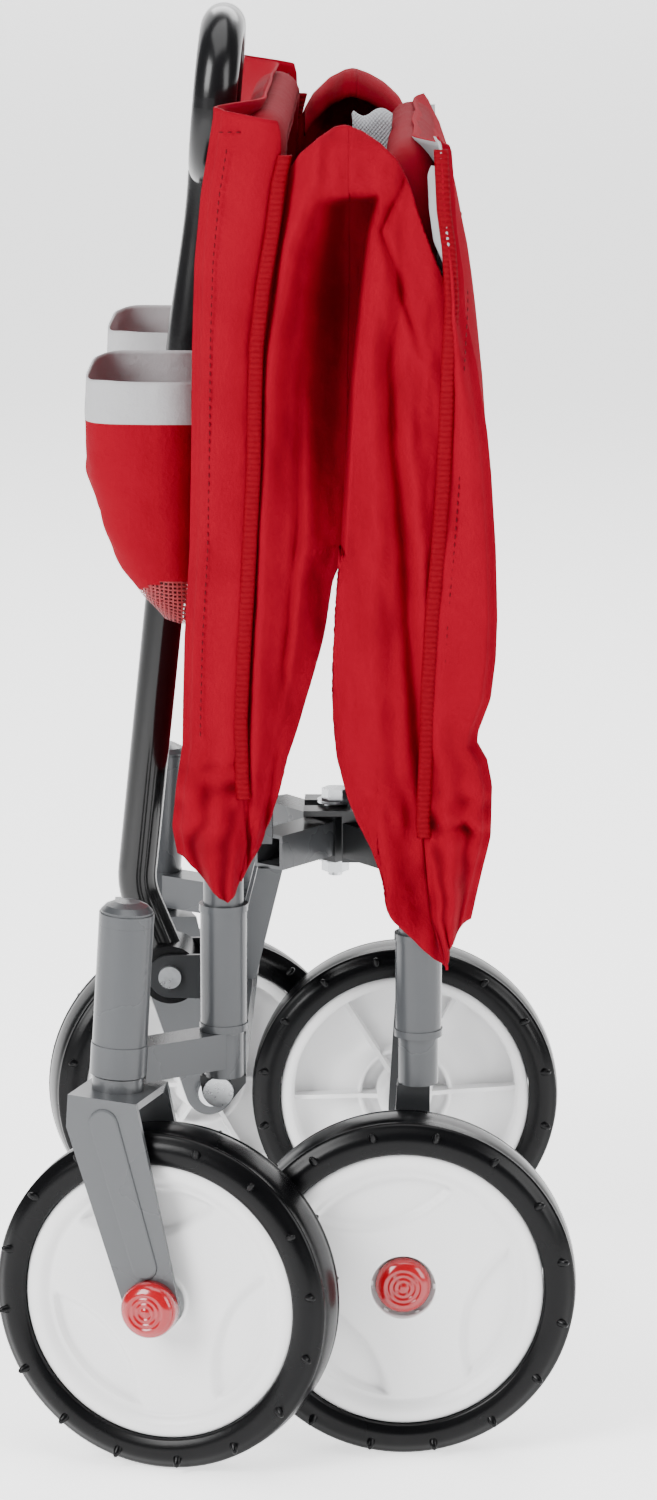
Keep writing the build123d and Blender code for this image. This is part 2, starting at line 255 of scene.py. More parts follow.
# %% [markdown]
# ## Finishes of the plastic and rubber
#
# The handle is a painted black tube, glossy enough to mirror the studio in long
# streaks, and its loop is a smooth black moulding. The wheel discs are white
# polypropylene, the caps a clear-coated red, and the tyres a soft black vinyl
# whose gloss is broken by mould marks.

# %% Black paint, white moulding, red caps, tyre rubber
def moulded(name, low, high, rough, coat=0.0, grain_scale=700, grain=0.00003,
            metal=0.0, shine=0.4):
    paint = Paint(name)
    cloud = paint.speckle(18, 4)
    fine = paint.speckle(grain_scale, 2)
    return paint.finish(
        Base_Color=paint.between(low, high, cloud),
        Roughness=cloud * 0.1 + (rough - 0.05),
        Metallic=metal, Coat_Weight=coat, Coat_Roughness=0.08,
        Specular_IOR_Level=shine,
        Normal=paint.bump(fine, grain, 0.4))


handle_black = moulded("handle_black", (0.0018, 0.0018, 0.002), (0.003, 0.003, 0.0033),
                       0.16, coat=0.15, shine=0.3)
grip_black = moulded("grip_black", (0.003, 0.003, 0.0035), (0.006, 0.006, 0.0065),
                     0.22, grain=0.00005, shine=0.3)
trim_dark = moulded("trim_dark", (0.048, 0.051, 0.055), (0.060, 0.063, 0.067), 0.25)
tyre_rubber = moulded("tyre_rubber", (0.0010, 0.0010, 0.0013),
                      (0.0020, 0.0021, 0.0025), 0.27, grain=0.00006, shine=0.16)
disc_white = moulded("disc_white", (0.78, 0.78, 0.785), (0.84, 0.84, 0.84), 0.30)
cap_red = moulded("cap_red", (0.27, 0.0, 0.004), (0.33, 0.0004, 0.007), 0.20,
                  coat=0.6)
board_black = moulded("board_black", (0.016, 0.016, 0.017), (0.03, 0.03, 0.031),
                      0.6, grain_scale=500, grain=0.0002)
print("plastic finishes:", [m.name for m in (
    handle_black, grip_black, trim_dark, tyre_rubber, disc_white, cap_red,
    board_black)])

# %% [markdown]
# ## Finishes of the cloth
#
# The tub is woven polyester. Each cloth piece carries a UV map called `cloth`,
# measured in metres along the fabric, so the weave follows it round every fold.
# Two crossed waves make the threads. Folds, creases and the hollow under the hump
# are darkened with painted shade: a point attribute, worked out on each mesh from
# its own depth, mixes the colour there towards a darker red.

# %% Woven canvas, webbing, lining and net
def woven(name, low, high, deep, thread=0.00062, rough=0.62, lift=0.00012,
          slub=0.35):
    paint = Paint(name)
    where = paint.cloth_place()
    waves = 2 * math.pi / thread
    warp, weft = [
        (paint.node("ShaderNodeSeparateXYZ", {}, {0: where}, side) * waves).sine()
        for side in ("X", "Y")]
    threads = warp * weft
    streak = paint.node("ShaderNodeTexNoise", {}, {
        "Vector": paint.node("ShaderNodeMapping", {}, {
            "Vector": where, "Scale": (900.0, 40.0, 1.0)}),
        "Scale": 1.0, "Detail": 3.0}, "Fac")
    cloud = paint.speckle(9, 3)
    # Painted shade: the point attribute mixes the colour towards the third, darker
    # colour in folds and hollows.
    fold = paint.node("ShaderNodeAttribute", {"attribute_name": "fold"},
                      output="Fac")
    lit = paint.between(low, high, streak * slub + cloud * (1 - slub))
    shade = paint.between(lit, deep, fold)
    crease = paint.bump(paint.speckle(42, 6, rough=0.66), 0.0030, 0.5)
    skin = paint.bump(threads + streak, lift, 0.45, crease)
    return paint.finish(Base_Color=shade, Roughness=streak * 0.12 + (rough - 0.06),
                        Specular_IOR_Level=0.05, Normal=skin)


# The third colour of each cloth is the painted shade that its folds and hollows are
# darkened to.
canvas_red = woven("canvas_red", (0.185, 0.0, 0.0070), (0.235, 0.0003, 0.0110),
                   (0.040, 0.0, 0.0008), rough=0.8)
binding_red = woven("binding_red", (0.13, 0.0, 0.0040), (0.19, 0.0003, 0.0070),
                    (0.05, 0.0, 0.0004), thread=0.0012, lift=0.0003)
lining_grey = woven("lining_grey", (0.30, 0.31, 0.32), (0.38, 0.39, 0.40),
                    (0.10, 0.10, 0.11))
band_grey = woven("band_grey", (0.34, 0.34, 0.35), (0.41, 0.41, 0.415),
                  (0.14, 0.14, 0.15))
strap_grey = woven("strap_grey", (0.26, 0.27, 0.29), (0.44, 0.45, 0.47),
                   (0.14, 0.14, 0.15), thread=0.0024, lift=0.0012)
pad_red = woven("pad_red", (0.20, 0.0, 0.0060), (0.25, 0.0003, 0.0095),
                (0.05, 0.0, 0.0006), lift=0.0002)
print("cloth finishes:", [m.name for m in (
    canvas_red, binding_red, lining_grey, band_grey, strap_grey, pad_red)])


# %% Net of the pocket bottoms
def netting():
    """Open red net: a grid of holes about 2 mm apart."""
    holes_per_metre, thread_width = 420.0, 0.17
    paint = Paint("pocket_net")
    where = paint.cloth_place()
    cells = paint.node("ShaderNodeTexVoronoi", {"feature": "DISTANCE_TO_EDGE"}, {
        "Vector": where, "Scale": holes_per_metre, "Randomness": 0.15}, "Distance")
    thread = cells.sum("LESS_THAN", cells, thread_width)
    cloud = paint.speckle(200, 2)
    return paint.finish(
        Base_Color=paint.between((0.16, 0.0008, 0.005), (0.26, 0.006, 0.012), cloud),
        Roughness=cloud * 0.1 + 0.55, Alpha=thread,
        Normal=paint.bump(cells, 0.0004, 0.6))


pocket_net = netting()
print("net:", pocket_net.name)

# %% [markdown]
# ## Giving the carried-over nodes their finishes
#
# The steel, bolts and hard mouldings are already the right shape, so each node
# keeps its mesh and only its material slots are filled.

# %% One finish for each hard node
FINISHES = {
    frame_coat: ["front_upper_frame", "front_legs", "front_cross_tube",
                 "rear_upper_frame", "rear_legs", "rear_cross_tube", "caster_arms",
                 "caster_housings", "caster_caps", "front_hinge_blocks",
                 "rear_hinge", "floor_frame_front", "floor_frame_rear"],
    trim_dark: ["front_sleeves", "rear_sleeves", "front_sleeve_rings",
                "rear_sleeve_rings"],
    dark_coat: ["pin_plates", "hub_block", "hub_bracket", "handle_clevis",
                "axle_brackets"],
    fork_coat: ["fork_near", "fork_far", "hub_braces_front"],
    zinc: ["tie_rod", "handle_bolt", "hub_bolt", "front_hinge_rod",
           "apex_hinge_rod", "rear_axle", "front_axle_near", "front_axle_far"],
    grip_black: ["handle_barrel", "caster_bushes", "handle_grip"],
    handle_black: ["handle_tube"],
    board_black: ["floor_board_front", "floor_board_rear"],
}


def wear(node, material):
    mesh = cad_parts[node].data
    if not mesh.materials:
        mesh.materials.append(material)
    for index in range(len(mesh.materials)):
        mesh.materials[index] = material


for material, nodes in FINISHES.items():
    for node in nodes:
        wear(node, material)
print("finished nodes:", sum(len(n) for n in FINISHES.values()))

# %% [markdown]
# ## Camera, floor and lights
#
# A long lens a little above the handle, looking slightly down, keeps the near and
# far wheels close in size. Large soft panels on both sides make long streaks in
# the black tube, and a pale floor bends up into the background far behind, so
# that there is no corner line. It glows a little, as a lit studio sweep does.

# %% Camera
camera = bpy.data.objects.new("camera", bpy.data.cameras.new("camera"))
bpy.context.scene.collection.objects.link(camera)
CAMERA_PLACE, CAMERA_TILT, CAMERA_TURN = (0.06715, -2.925, 0.974), 78, 0.94
camera.location = CAMERA_PLACE
camera.rotation_euler = (math.radians(CAMERA_TILT), 0, math.radians(CAMERA_TURN))
camera.data.lens = 124.8
camera.data.sensor_width = 36
bpy.context.scene.camera = camera
print("camera looks from", CAMERA_PLACE, "with a lens of", camera.data.lens)

# %% Floor and soft lights
floor_paint = Paint("studio_floor")
floor_tone = floor_paint.speckle(1.5, 2)
studio_floor = floor_paint.finish(
    Base_Color=floor_paint.between((0.90, 0.90, 0.905), (0.92, 0.92, 0.92),
                                   floor_tone), Roughness=0.75,
    Emission_Color=(1.0, 1.0, 1.0, 1.0), Emission_Strength=1.5)
floor_mesh = bpy.data.meshes.new("studio_floor")
FLOOR_FRONT, FLOOR_BACK, BEND, WALL_TOP, FLOOR_HALF = -14, 12, 2.5, 20, 16
SWEEP = [(FLOOR_FRONT, 0), (FLOOR_BACK, 0)]
SWEEP += [(FLOOR_BACK + BEND * math.sin(a), BEND - BEND * math.cos(a))
          for a in np.linspace(0.1, 1.57, 14)] + [(FLOOR_BACK + BEND, WALL_TOP)]
corners = [(x, y, z) for y, z in SWEEP for x in (-FLOOR_HALF, FLOOR_HALF)]
floor_mesh.from_pydata(corners, [], [(i, i + 1, i + 3, i + 2)
                                     for i in range(0, len(corners) - 2, 2)])
floor_mesh.shade_smooth()
floor_mesh.materials.append(studio_floor)
floor = bpy.data.objects.new("studio_floor", floor_mesh)
bpy.context.scene.collection.objects.link(floor)


def panel_light(name, place, look_at, size, power):
    data = bpy.data.lights.new(name, "AREA")
    data.shape, data.size, data.size_y, data.energy = "RECTANGLE", *size, power
    light = bpy.data.objects.new(name, data)
    light.location = place
    aim = Vector(look_at) - Vector(place)
    light.rotation_euler = aim.to_track_quat("-Z", "Y").to_euler()
    bpy.context.scene.collection.objects.link(light)


panel_light("key_left", (-1.9, -1.9, 1.9), (0, 0, 0.45), (1.3, 1.8), 140)
panel_light("fill_right", (2.3, -1.5, 1.3), (0, 0, 0.4), (1.2, 1.8), 52)
panel_light("top", (0.1, -0.2, 2.7), (0, 0, 0.3), (2.0, 2.0), 52)
panel_light("back", (0.3, 2.4, 2.2), (0, 0, 0.5), (2.4, 1.2), 60)
world = bpy.data.worlds.new("studio")
bpy.context.scene.world = world
world.use_nodes = True
sky = world.node_tree.nodes["Background"]
sky.inputs["Color"].default_value = (0.97, 0.98, 1.0, 1)
sky.inputs["Strength"].default_value = 0.20

# %% [markdown]
# ## Making meshes
#
# A few makers cover every new piece: a sheet from rows of points, with its cloth
# UVs measured along the rows; a turned shape, for anything round; a bmesh for the
# rest; and `settle`, which works out an object's modifiers and keeps the result
# as a plain mesh.

# %% Objects, settling and thickness
def keep(name, mesh, materials):
    for material in materials:
        mesh.materials.append(material)
    piece = bpy.data.objects.new(name, mesh)
    bpy.context.scene.collection.objects.link(piece)
    return piece


def settle(piece):
    bpy.context.view_layer.update()
    graph = bpy.context.evaluated_depsgraph_get()
    fresh = bpy.data.meshes.new_from_object(
        piece.evaluated_get(graph), preserve_all_data_layers=True, depsgraph=graph)
    piece.modifiers.clear()
    old, piece.data = piece.data, fresh
    fresh.name = piece.name
    bpy.data.meshes.remove(old)
    return piece


def fresh_mesh(name, shape):
    """A mesh from a bmesh, which is then let go."""
    mesh = bpy.data.meshes.new(name)
    shape.to_mesh(mesh)
    shape.free()
    return mesh


def thicken(piece, thickness, offset=0.0, lining=0):
    """Gives a sheet its wall; the inner face and the rim take a later material."""
    wall = piece.modifiers.new("wall", "SOLIDIFY")
    wall.thickness = thickness * MM
    wall.offset = offset
    wall.material_offset = lining
    wall.material_offset_rim = lining
    return settle(piece)


print("makers:", keep.__name__, settle.__name__, fresh_mesh.__name__,
      thicken.__name__)


# %% Sheets from rows of points
def sheet_mesh(name, rows, paint_index=None, fold=None):
    """A sheet through rows of points in millimetres, with cloth UVs in metres."""
    grid = np.array(rows, float) * MM
    down, across = grid.shape[:2]
    run_down = np.zeros((down, across))
    run_down[1:] = np.cumsum(np.linalg.norm(np.diff(grid, axis=0), axis=2), 0)
    run_across = np.zeros((down, across))
    run_across[:, 1:] = np.cumsum(np.linalg.norm(np.diff(grid, axis=1), axis=2), 1)
    mesh = bpy.data.meshes.new(name)
    faces, index = [], []
    for r in range(down - 1):
        for c in range(across - 1):
            first = r * across + c
            faces.append((first, first + 1, first + across + 1, first + across))
            index.append(paint_index(r, c) if paint_index else 0)
    mesh.from_pydata([tuple(p) for p in grid.reshape(-1, 3)], [], faces)
    mesh.polygons.foreach_set("material_index", index)
    mesh.shade_smooth()
    uv = mesh.uv_layers.new(name="cloth")
    flat = np.stack([run_across.ravel(), run_down.ravel()], 1)
    loops = np.zeros(len(mesh.loops), int)
    mesh.loops.foreach_get("vertex_index", loops)
    uv.data.foreach_set("uv", flat[loops].ravel())
    # Painted shade for folds and hollows, one value per point; zero where none is
    # given.
    depth = mesh.attributes.new("fold", "FLOAT", "POINT")
    if fold is not None:
        depth.data.foreach_set("value", np.array(fold, float).ravel())
    return mesh


def sheet_piece(name, rows, materials, thickness, offset=0.0, lining=0, **looks):
    piece = keep(name, sheet_mesh(name, rows, **looks), materials)
    return thicken(piece, thickness, offset, lining)


print("sheets by:", sheet_piece.__name__)


# %% Turned shapes, and joining pieces
def turned(name, profile, steps, matrix, materials):
    """A closed outline of (radius, along) in millimetres, turned about its Y axis."""
    vertices, faces = [], []
    count = len(profile)
    for s in range(steps):
        angle = 2 * math.pi * s / steps
        for radius, along in profile:
            vertices.append((radius * math.cos(angle) * MM, along * MM,
                             radius * math.sin(angle) * MM))
    for s in range(steps):
        t = (s + 1) % steps
        for p in range(count):
            q = (p + 1) % count
            faces.append((s * count + p, s * count + q, t * count + q,
                          t * count + p))
    mesh = bpy.data.meshes.new(name)
    mesh.from_pydata(vertices, [], faces)
    shape = bmesh.new()
    shape.from_mesh(mesh)
    bmesh.ops.remove_doubles(shape, verts=shape.verts, dist=1e-6)
    bmesh.ops.dissolve_degenerate(shape, edges=shape.edges, dist=1e-7)
    bmesh.ops.recalc_face_normals(shape, faces=shape.faces)
    shape.to_mesh(mesh)
    shape.free()
    mesh.shade_smooth()
    mesh.transform(matrix)
    return keep(name, mesh, materials)


def join(name, pieces):
    """Several objects become one, under this name."""
    shape = bmesh.new()
    materials = []
    for piece in pieces:
        for material in piece.data.materials:
            if material not in materials:
                materials.append(material)
    for piece in pieces:
        part = piece.data
        places = [materials.index(m) for m in part.materials]
        for face in part.polygons:
            face.material_index = places[face.material_index] if places else 0
        shape.from_mesh(part)
    mesh = fresh_mesh(name, shape)
    for piece in pieces:
        old = piece.data
        bpy.data.objects.remove(piece)
        bpy.data.meshes.remove(old)
    return keep(name, mesh, materials)


print("round pieces by:", turned.__name__, "and several into one by:", join.__name__)

# %% [markdown]
# ## Rings of repeated marks and rows of stitches
#
# Two small Geometry Nodes trees do all the repeating. `ring_tree` sets copies of a
# mark round the wheel's axis, and `stitch_tree` walks along a seam and lays a
# stitch every few millimetres, turned to follow it. Their sizes are named inputs.

# %% Helpers for building a tree
def new_tree(name, inputs):
    tree = bpy.data.node_groups.new(name, "GeometryNodeTree")
    sockets = {}
    for label, kind, value in inputs:
        socket = tree.interface.new_socket(label, in_out="INPUT", socket_type=kind)
        if value is not None:
            socket.default_value = value
        sockets[label] = socket.identifier
    tree.interface.new_socket("Geometry", in_out="OUTPUT",
                              socket_type="NodeSocketGeometry")
    return tree, sockets


def tree_node(tree, kind, settings=None, inputs=None):
    made = tree.nodes.new(kind)
    for key, value in (settings or {}).items():
        setattr(made, key, value)
    for key, value in (inputs or {}).items():
        if isinstance(value, bpy.types.NodeSocket):
            tree.links.new(value, made.inputs[key])
        else:
            made.inputs[key].default_value = value
    return made


def place_copies(tree, points, shape, turn, finish):
    """Copies of a shape at the points, made real, given their finish and put out."""
    copies = tree_node(tree, "GeometryNodeInstanceOnPoints", inputs={
        "Points": points, "Instance": shape, "Rotation": turn})
    real = tree_node(tree, "GeometryNodeRealizeInstances",
                     inputs={0: copies.outputs[0]})
    dressed = tree_node(tree, "GeometryNodeSetMaterial", inputs={
        "Geometry": real.outputs[0], "Material": finish})
    tree_node(tree, "NodeGroupOutput", inputs={0: dressed.outputs[0]})


print("trees by:", new_tree.__name__, tree_node.__name__, place_copies.__name__)


# %% Marks round an axis
ring_tree, ring_sockets = new_tree("marks_round_axis", [
    ("Geometry", "NodeSocketGeometry", None), ("Count", "NodeSocketInt", 16),
    ("First angle", "NodeSocketFloat", 0.0), ("Finish", "NodeSocketMaterial", None)])
entry = tree_node(ring_tree, "NodeGroupInput")
points = tree_node(ring_tree, "GeometryNodePoints",
                   inputs={"Count": entry.outputs["Count"]})
number = tree_node(ring_tree, "GeometryNodeInputIndex")
step = tree_node(ring_tree, "ShaderNodeMath", {"operation": "DIVIDE"},
                 {0: 2 * math.pi, 1: entry.outputs["Count"]})
turn = tree_node(ring_tree, "ShaderNodeMath", {"operation": "MULTIPLY_ADD"},
                 {0: number.outputs[0], 1: step.outputs[0],
                  2: entry.outputs["First angle"]})
spun = tree_node(ring_tree, "ShaderNodeCombineXYZ", inputs={"Y": turn.outputs[0]})
place_copies(ring_tree, points.outputs[0], entry.outputs["Geometry"],
             spun.outputs[0], entry.outputs["Finish"])
print("ring tree inputs:", list(ring_sockets))

# %% Stitches along a seam
stitch_tree, stitch_sockets = new_tree("stitches_on_seam", [
    ("Geometry", "NodeSocketGeometry", None), ("Pitch", "NodeSocketFloat", 0.0045),
    ("Length", "NodeSocketFloat", 0.0032), ("Width", "NodeSocketFloat", 0.0009),
    ("Finish", "NodeSocketMaterial", None)])
entry = tree_node(stitch_tree, "NodeGroupInput")
seam = tree_node(stitch_tree, "GeometryNodeMeshToCurve",
                 inputs={0: entry.outputs["Geometry"]})
paced = tree_node(stitch_tree, "GeometryNodeResampleCurve", {"mode": "LENGTH"},
                  {"Curve": seam.outputs[0], "Length": entry.outputs["Pitch"]})
bead = tree_node(stitch_tree, "GeometryNodeMeshIcoSphere",
                 inputs={"Radius": 0.5, "Subdivisions": 1})
size = tree_node(stitch_tree, "ShaderNodeCombineXYZ", inputs={
    "X": entry.outputs["Length"], "Y": entry.outputs["Width"],
    "Z": entry.outputs["Width"]})
shaped = tree_node(stitch_tree, "GeometryNodeTransform", inputs={
    "Geometry": bead.outputs[0], "Scale": size.outputs[0]})
ahead = tree_node(stitch_tree, "GeometryNodeInputTangent")
lie = tree_node(stitch_tree, "FunctionNodeAlignRotationToVector", {"axis": "X"},
                {"Vector": ahead.outputs[0]})
place_copies(stitch_tree, paced.outputs[0], shaped.outputs[0], lie.outputs[0],
             entry.outputs["Finish"])
print("stitch tree inputs:", list(stitch_sockets))


# %% Running a tree, and sewing with one
def grow(piece, tree, sockets, **values):
    """Runs a tree on a piece with these inputs and keeps the plain mesh."""
    modifier = piece.modifiers.new("grow", "NODES")
    modifier.node_group = tree
    for label, value in values.items():
        modifier[sockets[label.replace("_", " ")]] = value
    piece.update_tag()
    return settle(piece)


def stitches(name, seams, finish, pitch=4.5, length=3.2, width=0.9):
    """Seams are lists of points in millimetres."""
    vertices, edges = [], []
    for line in seams:
        first = len(vertices)
        vertices += [tuple(c * MM for c in p) for p in line]
        edges += [(first + i, first + i + 1) for i in range(len(line) - 1)]
    mesh = bpy.data.meshes.new(name)
    mesh.from_pydata(vertices, edges, [])
    piece = keep(name, mesh, [])
    grow(piece, stitch_tree, stitch_sockets, Pitch=pitch * MM, Length=length * MM,
         Width=width * MM, Finish=finish)
    piece.data.shade_smooth()
    return piece


thread_paint = Paint("seam_thread")
thread_red = thread_paint.finish(
    Base_Color=thread_paint.between((0.060, 0.0, 0.002), (0.100, 0.0, 0.004),
                                    thread_paint.speckle(900, 2)),
    Roughness=thread_paint.speckle(300, 2) * 0.2 + 0.45,
    Specular_IOR_Level=0.1)
print("thread:", thread_red.name)

# %% [markdown]
# ## Wheels
#
# Each tyre is a turned section with a flat tread, a raised ring where tread meets
# shoulder, and sixteen short mould lugs round the shoulder on both sides. All four
# wheels are built about their own Y axis and then put where the model's wheels
# are: the front two lean with their posts and are swivelled a little, and the far
# two are turned to face outwards.

# %% Where the wheels are
LEAN, SWIVEL = math.radians(3.48), math.radians(17)


def hub(node):
    low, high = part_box(node)
    return Matrix.Translation((low + high) / 2)


def wheel_frames():
    flip = Matrix.Rotation(math.pi, 4, "Z")
    lean = Matrix.Rotation(LEAN, 4, "Y")
    steer = {side: Matrix.Rotation(side * SWIVEL, 4, "Z") for side in (-1, 1)}
    return {
        "rear_near": hub("tyre_rear_near"),
        "rear_far": hub("tyre_rear_far") @ flip,
        "front_near": hub("tyre_front_near") @ lean @ steer[-1],
        "front_far": hub("tyre_front_far") @ lean @ steer[1] @ flip,
    }


WHEELS = wheel_frames()
print({k: [round(v, 4) for v in m.translation] for k, m in WHEELS.items()})

# %% Tyres
LUGS_ROUND = 16
TREAD = [(94.9, 0), (94.8, 5), (94.3, 9.5), (93.6, 11.2), (94.1, 12.2), (93.9, 13.6),
         (92.6, 14.6), (91.2, 15.4), (89.8, 17.0), (87.5, 18.1), (84.5, 18.7),
         (81.2, 18.4), (79.6, 17.6), (78.3, 17.2), (77.0, 16.4)]


def tyre_outline():
    outer = TREAD + [(77.0, 10), (77.0, 0)]
    other = [(r, -a) for r, a in reversed(outer) if a > 0]
    return outer + other


def lug(side):
    """One mould lug on the shoulder: a long soft bump."""
    shape = bmesh.new()
    bmesh.ops.create_uvsphere(shape, u_segments=10, v_segments=6, radius=1.0)
    for vertex in shape.verts:
        x, y, z = vertex.co
        vertex.co = (x * 5.6 * MM, y * 2.1 * MM, z * 2.3 * MM)
    turn_down = Matrix.Rotation(side * math.radians(38), 4, "Z")
    bmesh.ops.transform(shape, matrix=Matrix.Translation(
        (87.6 * MM, side * 17.7 * MM, 0)) @ turn_down, verts=shape.verts)
    return shape


for place, matrix in WHEELS.items():
    band = turned("tyre_moulded_" + place, tyre_outline(), 128, matrix, [tyre_rubber])
    marks = []
    for side in (-1, 1):
        mark = keep(f"lug_{side + 1}", fresh_mesh("lug", lug(side)), [])
        grow(mark, ring_tree, ring_sockets, Count=LUGS_ROUND, Finish=tyre_rubber,
             First_angle=0.2)
        mark.data.transform(matrix)
        mark.data.shade_smooth()
        marks.append(mark)
    tyre = join("tyre_with_lugs_" + place, [band] + marks)
    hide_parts("tyre_" + place)
    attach(tyre, "wheel_" + place)
print("tyres:", len(WHEELS))

# %% [markdown]
# ## Wheel discs
#
# The real disc is one white moulding: a rolled rim, a shallow face with three
# sweeping lobes, and on the inside six ribs and a ring. It could be carved from a
# solid, but its face follows a rule, so it is laid as rings of points whose depth
# the rule gives, and the inside is further rings that close up with the first.

# %% Disc faces
def lobe_depth(radius, angle):
    """How far the outside face sinks, in millimetres, at this place."""
    if radius > 63:
        return 0.0
    best = 0.0
    for n in range(3):
        heading = math.radians(100 + 120 * n)
        x = radius * math.cos(angle - heading)
        y = radius * math.sin(angle - heading)
        # An arc that bows towards the hub cuts off the outer part of each third.
        edge = 36 + 0.0085 * y * y - 0.10 * y
        best = max(best, smooth(edge - 1.5, edge + 3.0, x))
    return 4.4 * best * smooth(63.0, 60.5, radius)


DISC_STEPS, RIBS_ROUND = 144, 6
RIM_RADII = [63.5, 64.6, 65.6, 66.4, 68.2, 70.5, 73.4, 75.6, 76.6]


def front_face_depth(radius, angle, boss_radius, boss_depth):
    if radius <= boss_radius:
        return boss_depth
    if radius <= 63.5:
        return -10.9 + lobe_depth(radius, angle)
    if radius <= 75:
        return mix(-10.6, -14.9, smooth(63.5, 70.5, radius))
    return mix(-14.9, -14.0, (radius - 75) / 1.6)


def disc_piece(name, boss_radius, boss_depth, hub_in, matrix):
    shape = bmesh.new()
    turns = [2 * math.pi * s / DISC_STEPS for s in range(DISC_STEPS)]

    def ring(radius, depths):
        return [shape.verts.new((radius * math.cos(a) * MM, depth * MM,
                                 radius * math.sin(a) * MM))
                for a, depth in zip(turns, depths)]

    face = [boss_radius, boss_radius + 0.6, *np.linspace(boss_radius + 2, 62.5, 34)]
    back = [(76.6, 13.6), (75.8, 14.2), (70.6, 14.2), (69.2, 12.0), (68.0, -5.0),
            (29.6, -5.0), (29.4, 4.8), (26.6, 4.8), (26.4, -5.0), (18.0, -5.0),
            (16.2, hub_in), (6.2, hub_in), (6.2, -4.0), (boss_radius, -4.0)]
    rows = [ring(radius, [front_face_depth(radius, a, boss_radius, boss_depth)
                          for a in turns]) for radius in face + RIM_RADII]
    rows += [ring(radius, [depth] * DISC_STEPS) for radius, depth in back]
    for upper, lower in zip(rows, rows[1:] + rows[:1]):
        for s in range(DISC_STEPS):
            t = (s + 1) % DISC_STEPS
            shape.faces.new((upper[s], upper[t], lower[t], lower[s]))
    bmesh.ops.recalc_face_normals(shape, faces=shape.faces)
    mesh = fresh_mesh(name, shape)
    mesh.shade_smooth()
    mesh.transform(matrix)
    return keep(name, mesh, [disc_white])


def ribs(matrix):
    """The inside ribs, each tapering in height from the hub to the rim."""
    shape = bmesh.new()
    outline = [(16.5, -6), (68.6, -6), (68.6, 3.5), (60, 5), (30, 6.5), (16.5, 9)]
    sides = [[shape.verts.new((x * MM, y * MM, z * MM)) for x, y in outline]
             for z in (-1.3, 1.3)]
    shape.faces.new(sides[0])
    shape.faces.new(list(reversed(sides[1])))
    for i in range(len(outline)):
        j = (i + 1) % len(outline)
        shape.faces.new((sides[0][j], sides[0][i], sides[1][i], sides[1][j]))
    bmesh.ops.recalc_face_normals(shape, faces=shape.faces)
    piece = keep("rib", fresh_mesh("rib", shape), [])
    grow(piece, ring_tree, ring_sockets, Count=RIBS_ROUND, Finish=disc_white,
         First_angle=0.05)
    piece.data.transform(matrix)
    return piece


for place, matrix in WHEELS.items():
    boss_radius, boss_depth, hub_in = (
        (17.8, -11.0, 17) if place.startswith("rear") else (14.5, -14.0, 19))
    face = disc_piece("disc_face_" + place, boss_radius, boss_depth, hub_in, matrix)
    disc = join("disc_with_lobes_" + place, [face, ribs(matrix)])
    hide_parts("disc_" + place)
    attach(disc, "wheel_" + place)
print("discs:", len(WHEELS))

# %% [markdown]
# ## Red caps
#
# A red plastic cap is pushed over each axle end. Its domed face has three raised
# rings. It is round all over, so it is turned from one outline, and a cosine in
# the outline makes the rings.

# %% Red caps with rings
RING_HEIGHT, RING_PITCH = 0.315, 2.9


def cap_outline(base, radius, dome):
    """A push-on cap: straight skirt, round shoulder, and three raised rings."""
    outline = [(0.0001, base - dome), (1.0, base - dome)]
    for r in np.linspace(1.5, radius * 0.66, 26):
        wave = RING_HEIGHT * math.cos(r * 2 * math.pi / RING_PITCH)
        outline.append((float(r), base - dome + 0.5 + wave))
    outline += [(radius * 0.72, base - dome + 0.6), (radius * 0.85, base - dome + 1.6),
                (radius * 0.95, base - dome + 3.4), (radius, base - dome + 6.0),
                (radius, base), (radius - 1.5, base), (radius - 1.5, base - 1.0),
                (0.0001, base - 1.0)]
    return outline


for place, matrix in WHEELS.items():
    end, side = place.split("_")
    base, radius, dome = (-4.4, 15.4, 8.4) if end == "rear" else (-26.1, 15.5, 11.4)
    cap = turned("ringed_cap_" + place, cap_outline(base, radius, dome), 64, matrix,
                 [cap_red])
    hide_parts(("cap_rear_" if end == "rear" else "front_cap_") + side)
    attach(cap, "wheel_" + place if end == "rear" else "caster_" + side)
print("caps:", len(WHEELS))

# %% [markdown]
# ## Fork panels
#
# The fork legs are pressed plate with one long raised panel that stiffens them.
# The fork itself comes from the engineering model; the panel is too slight for
# that, so it is a thin plate with a sloped edge on the outside of each outer leg.

# %% Raised panels on the fork legs
# In the fork's own frame: the axle, and the middles of the panel's two round ends.
AXLE = Vector((35.5, 0, -120.1644))
PANEL_TOP, PANEL_LOW = Vector((2.5, 0, -22)), Vector((30.0, 0, -98))
PANEL_STEPS = ((-26.0, 0.0), (-26.9, 0.4), (-27.1, 1.4))


def fork_panel(side):
    shape = bmesh.new()
    slant = math.atan2(PANEL_LOW.x - PANEL_TOP.x, PANEL_TOP.z - PANEL_LOW.z)
    rows = []
    for y, inset in PANEL_STEPS:
        outline = []
        for centre, start, radius in ((PANEL_TOP, 0, 8.5), (PANEL_LOW, math.pi, 7.5)):
            for a in np.linspace(0, math.pi, 12) + start + slant:
                outline.append(shape.verts.new((
                    (centre.x + (radius - inset) * math.cos(a) - AXLE.x) * MM, y * MM,
                    (centre.z + (radius - inset) * math.sin(a) - AXLE.z) * MM)))
        rows.append(outline)
    count = len(rows[0])
    for upper, lower in zip(rows[:-1], rows[1:]):
        for i in range(count):
            j = (i + 1) % count
            shape.faces.new((upper[i], upper[j], lower[j], lower[i]))
    shape.faces.new(rows[0])
    shape.faces.new(rows[-1])
    bmesh.ops.recalc_face_normals(shape, faces=shape.faces)
    mesh = fresh_mesh("fork_panel_" + side, shape)
    mesh.transform(WHEELS["front_" + side])
    piece = keep("fork_panel_" + side, mesh, [fork_coat])
    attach(piece, "caster_" + side)


for side in ("near", "far"):
    fork_panel(side)
print("fork panels: 2")

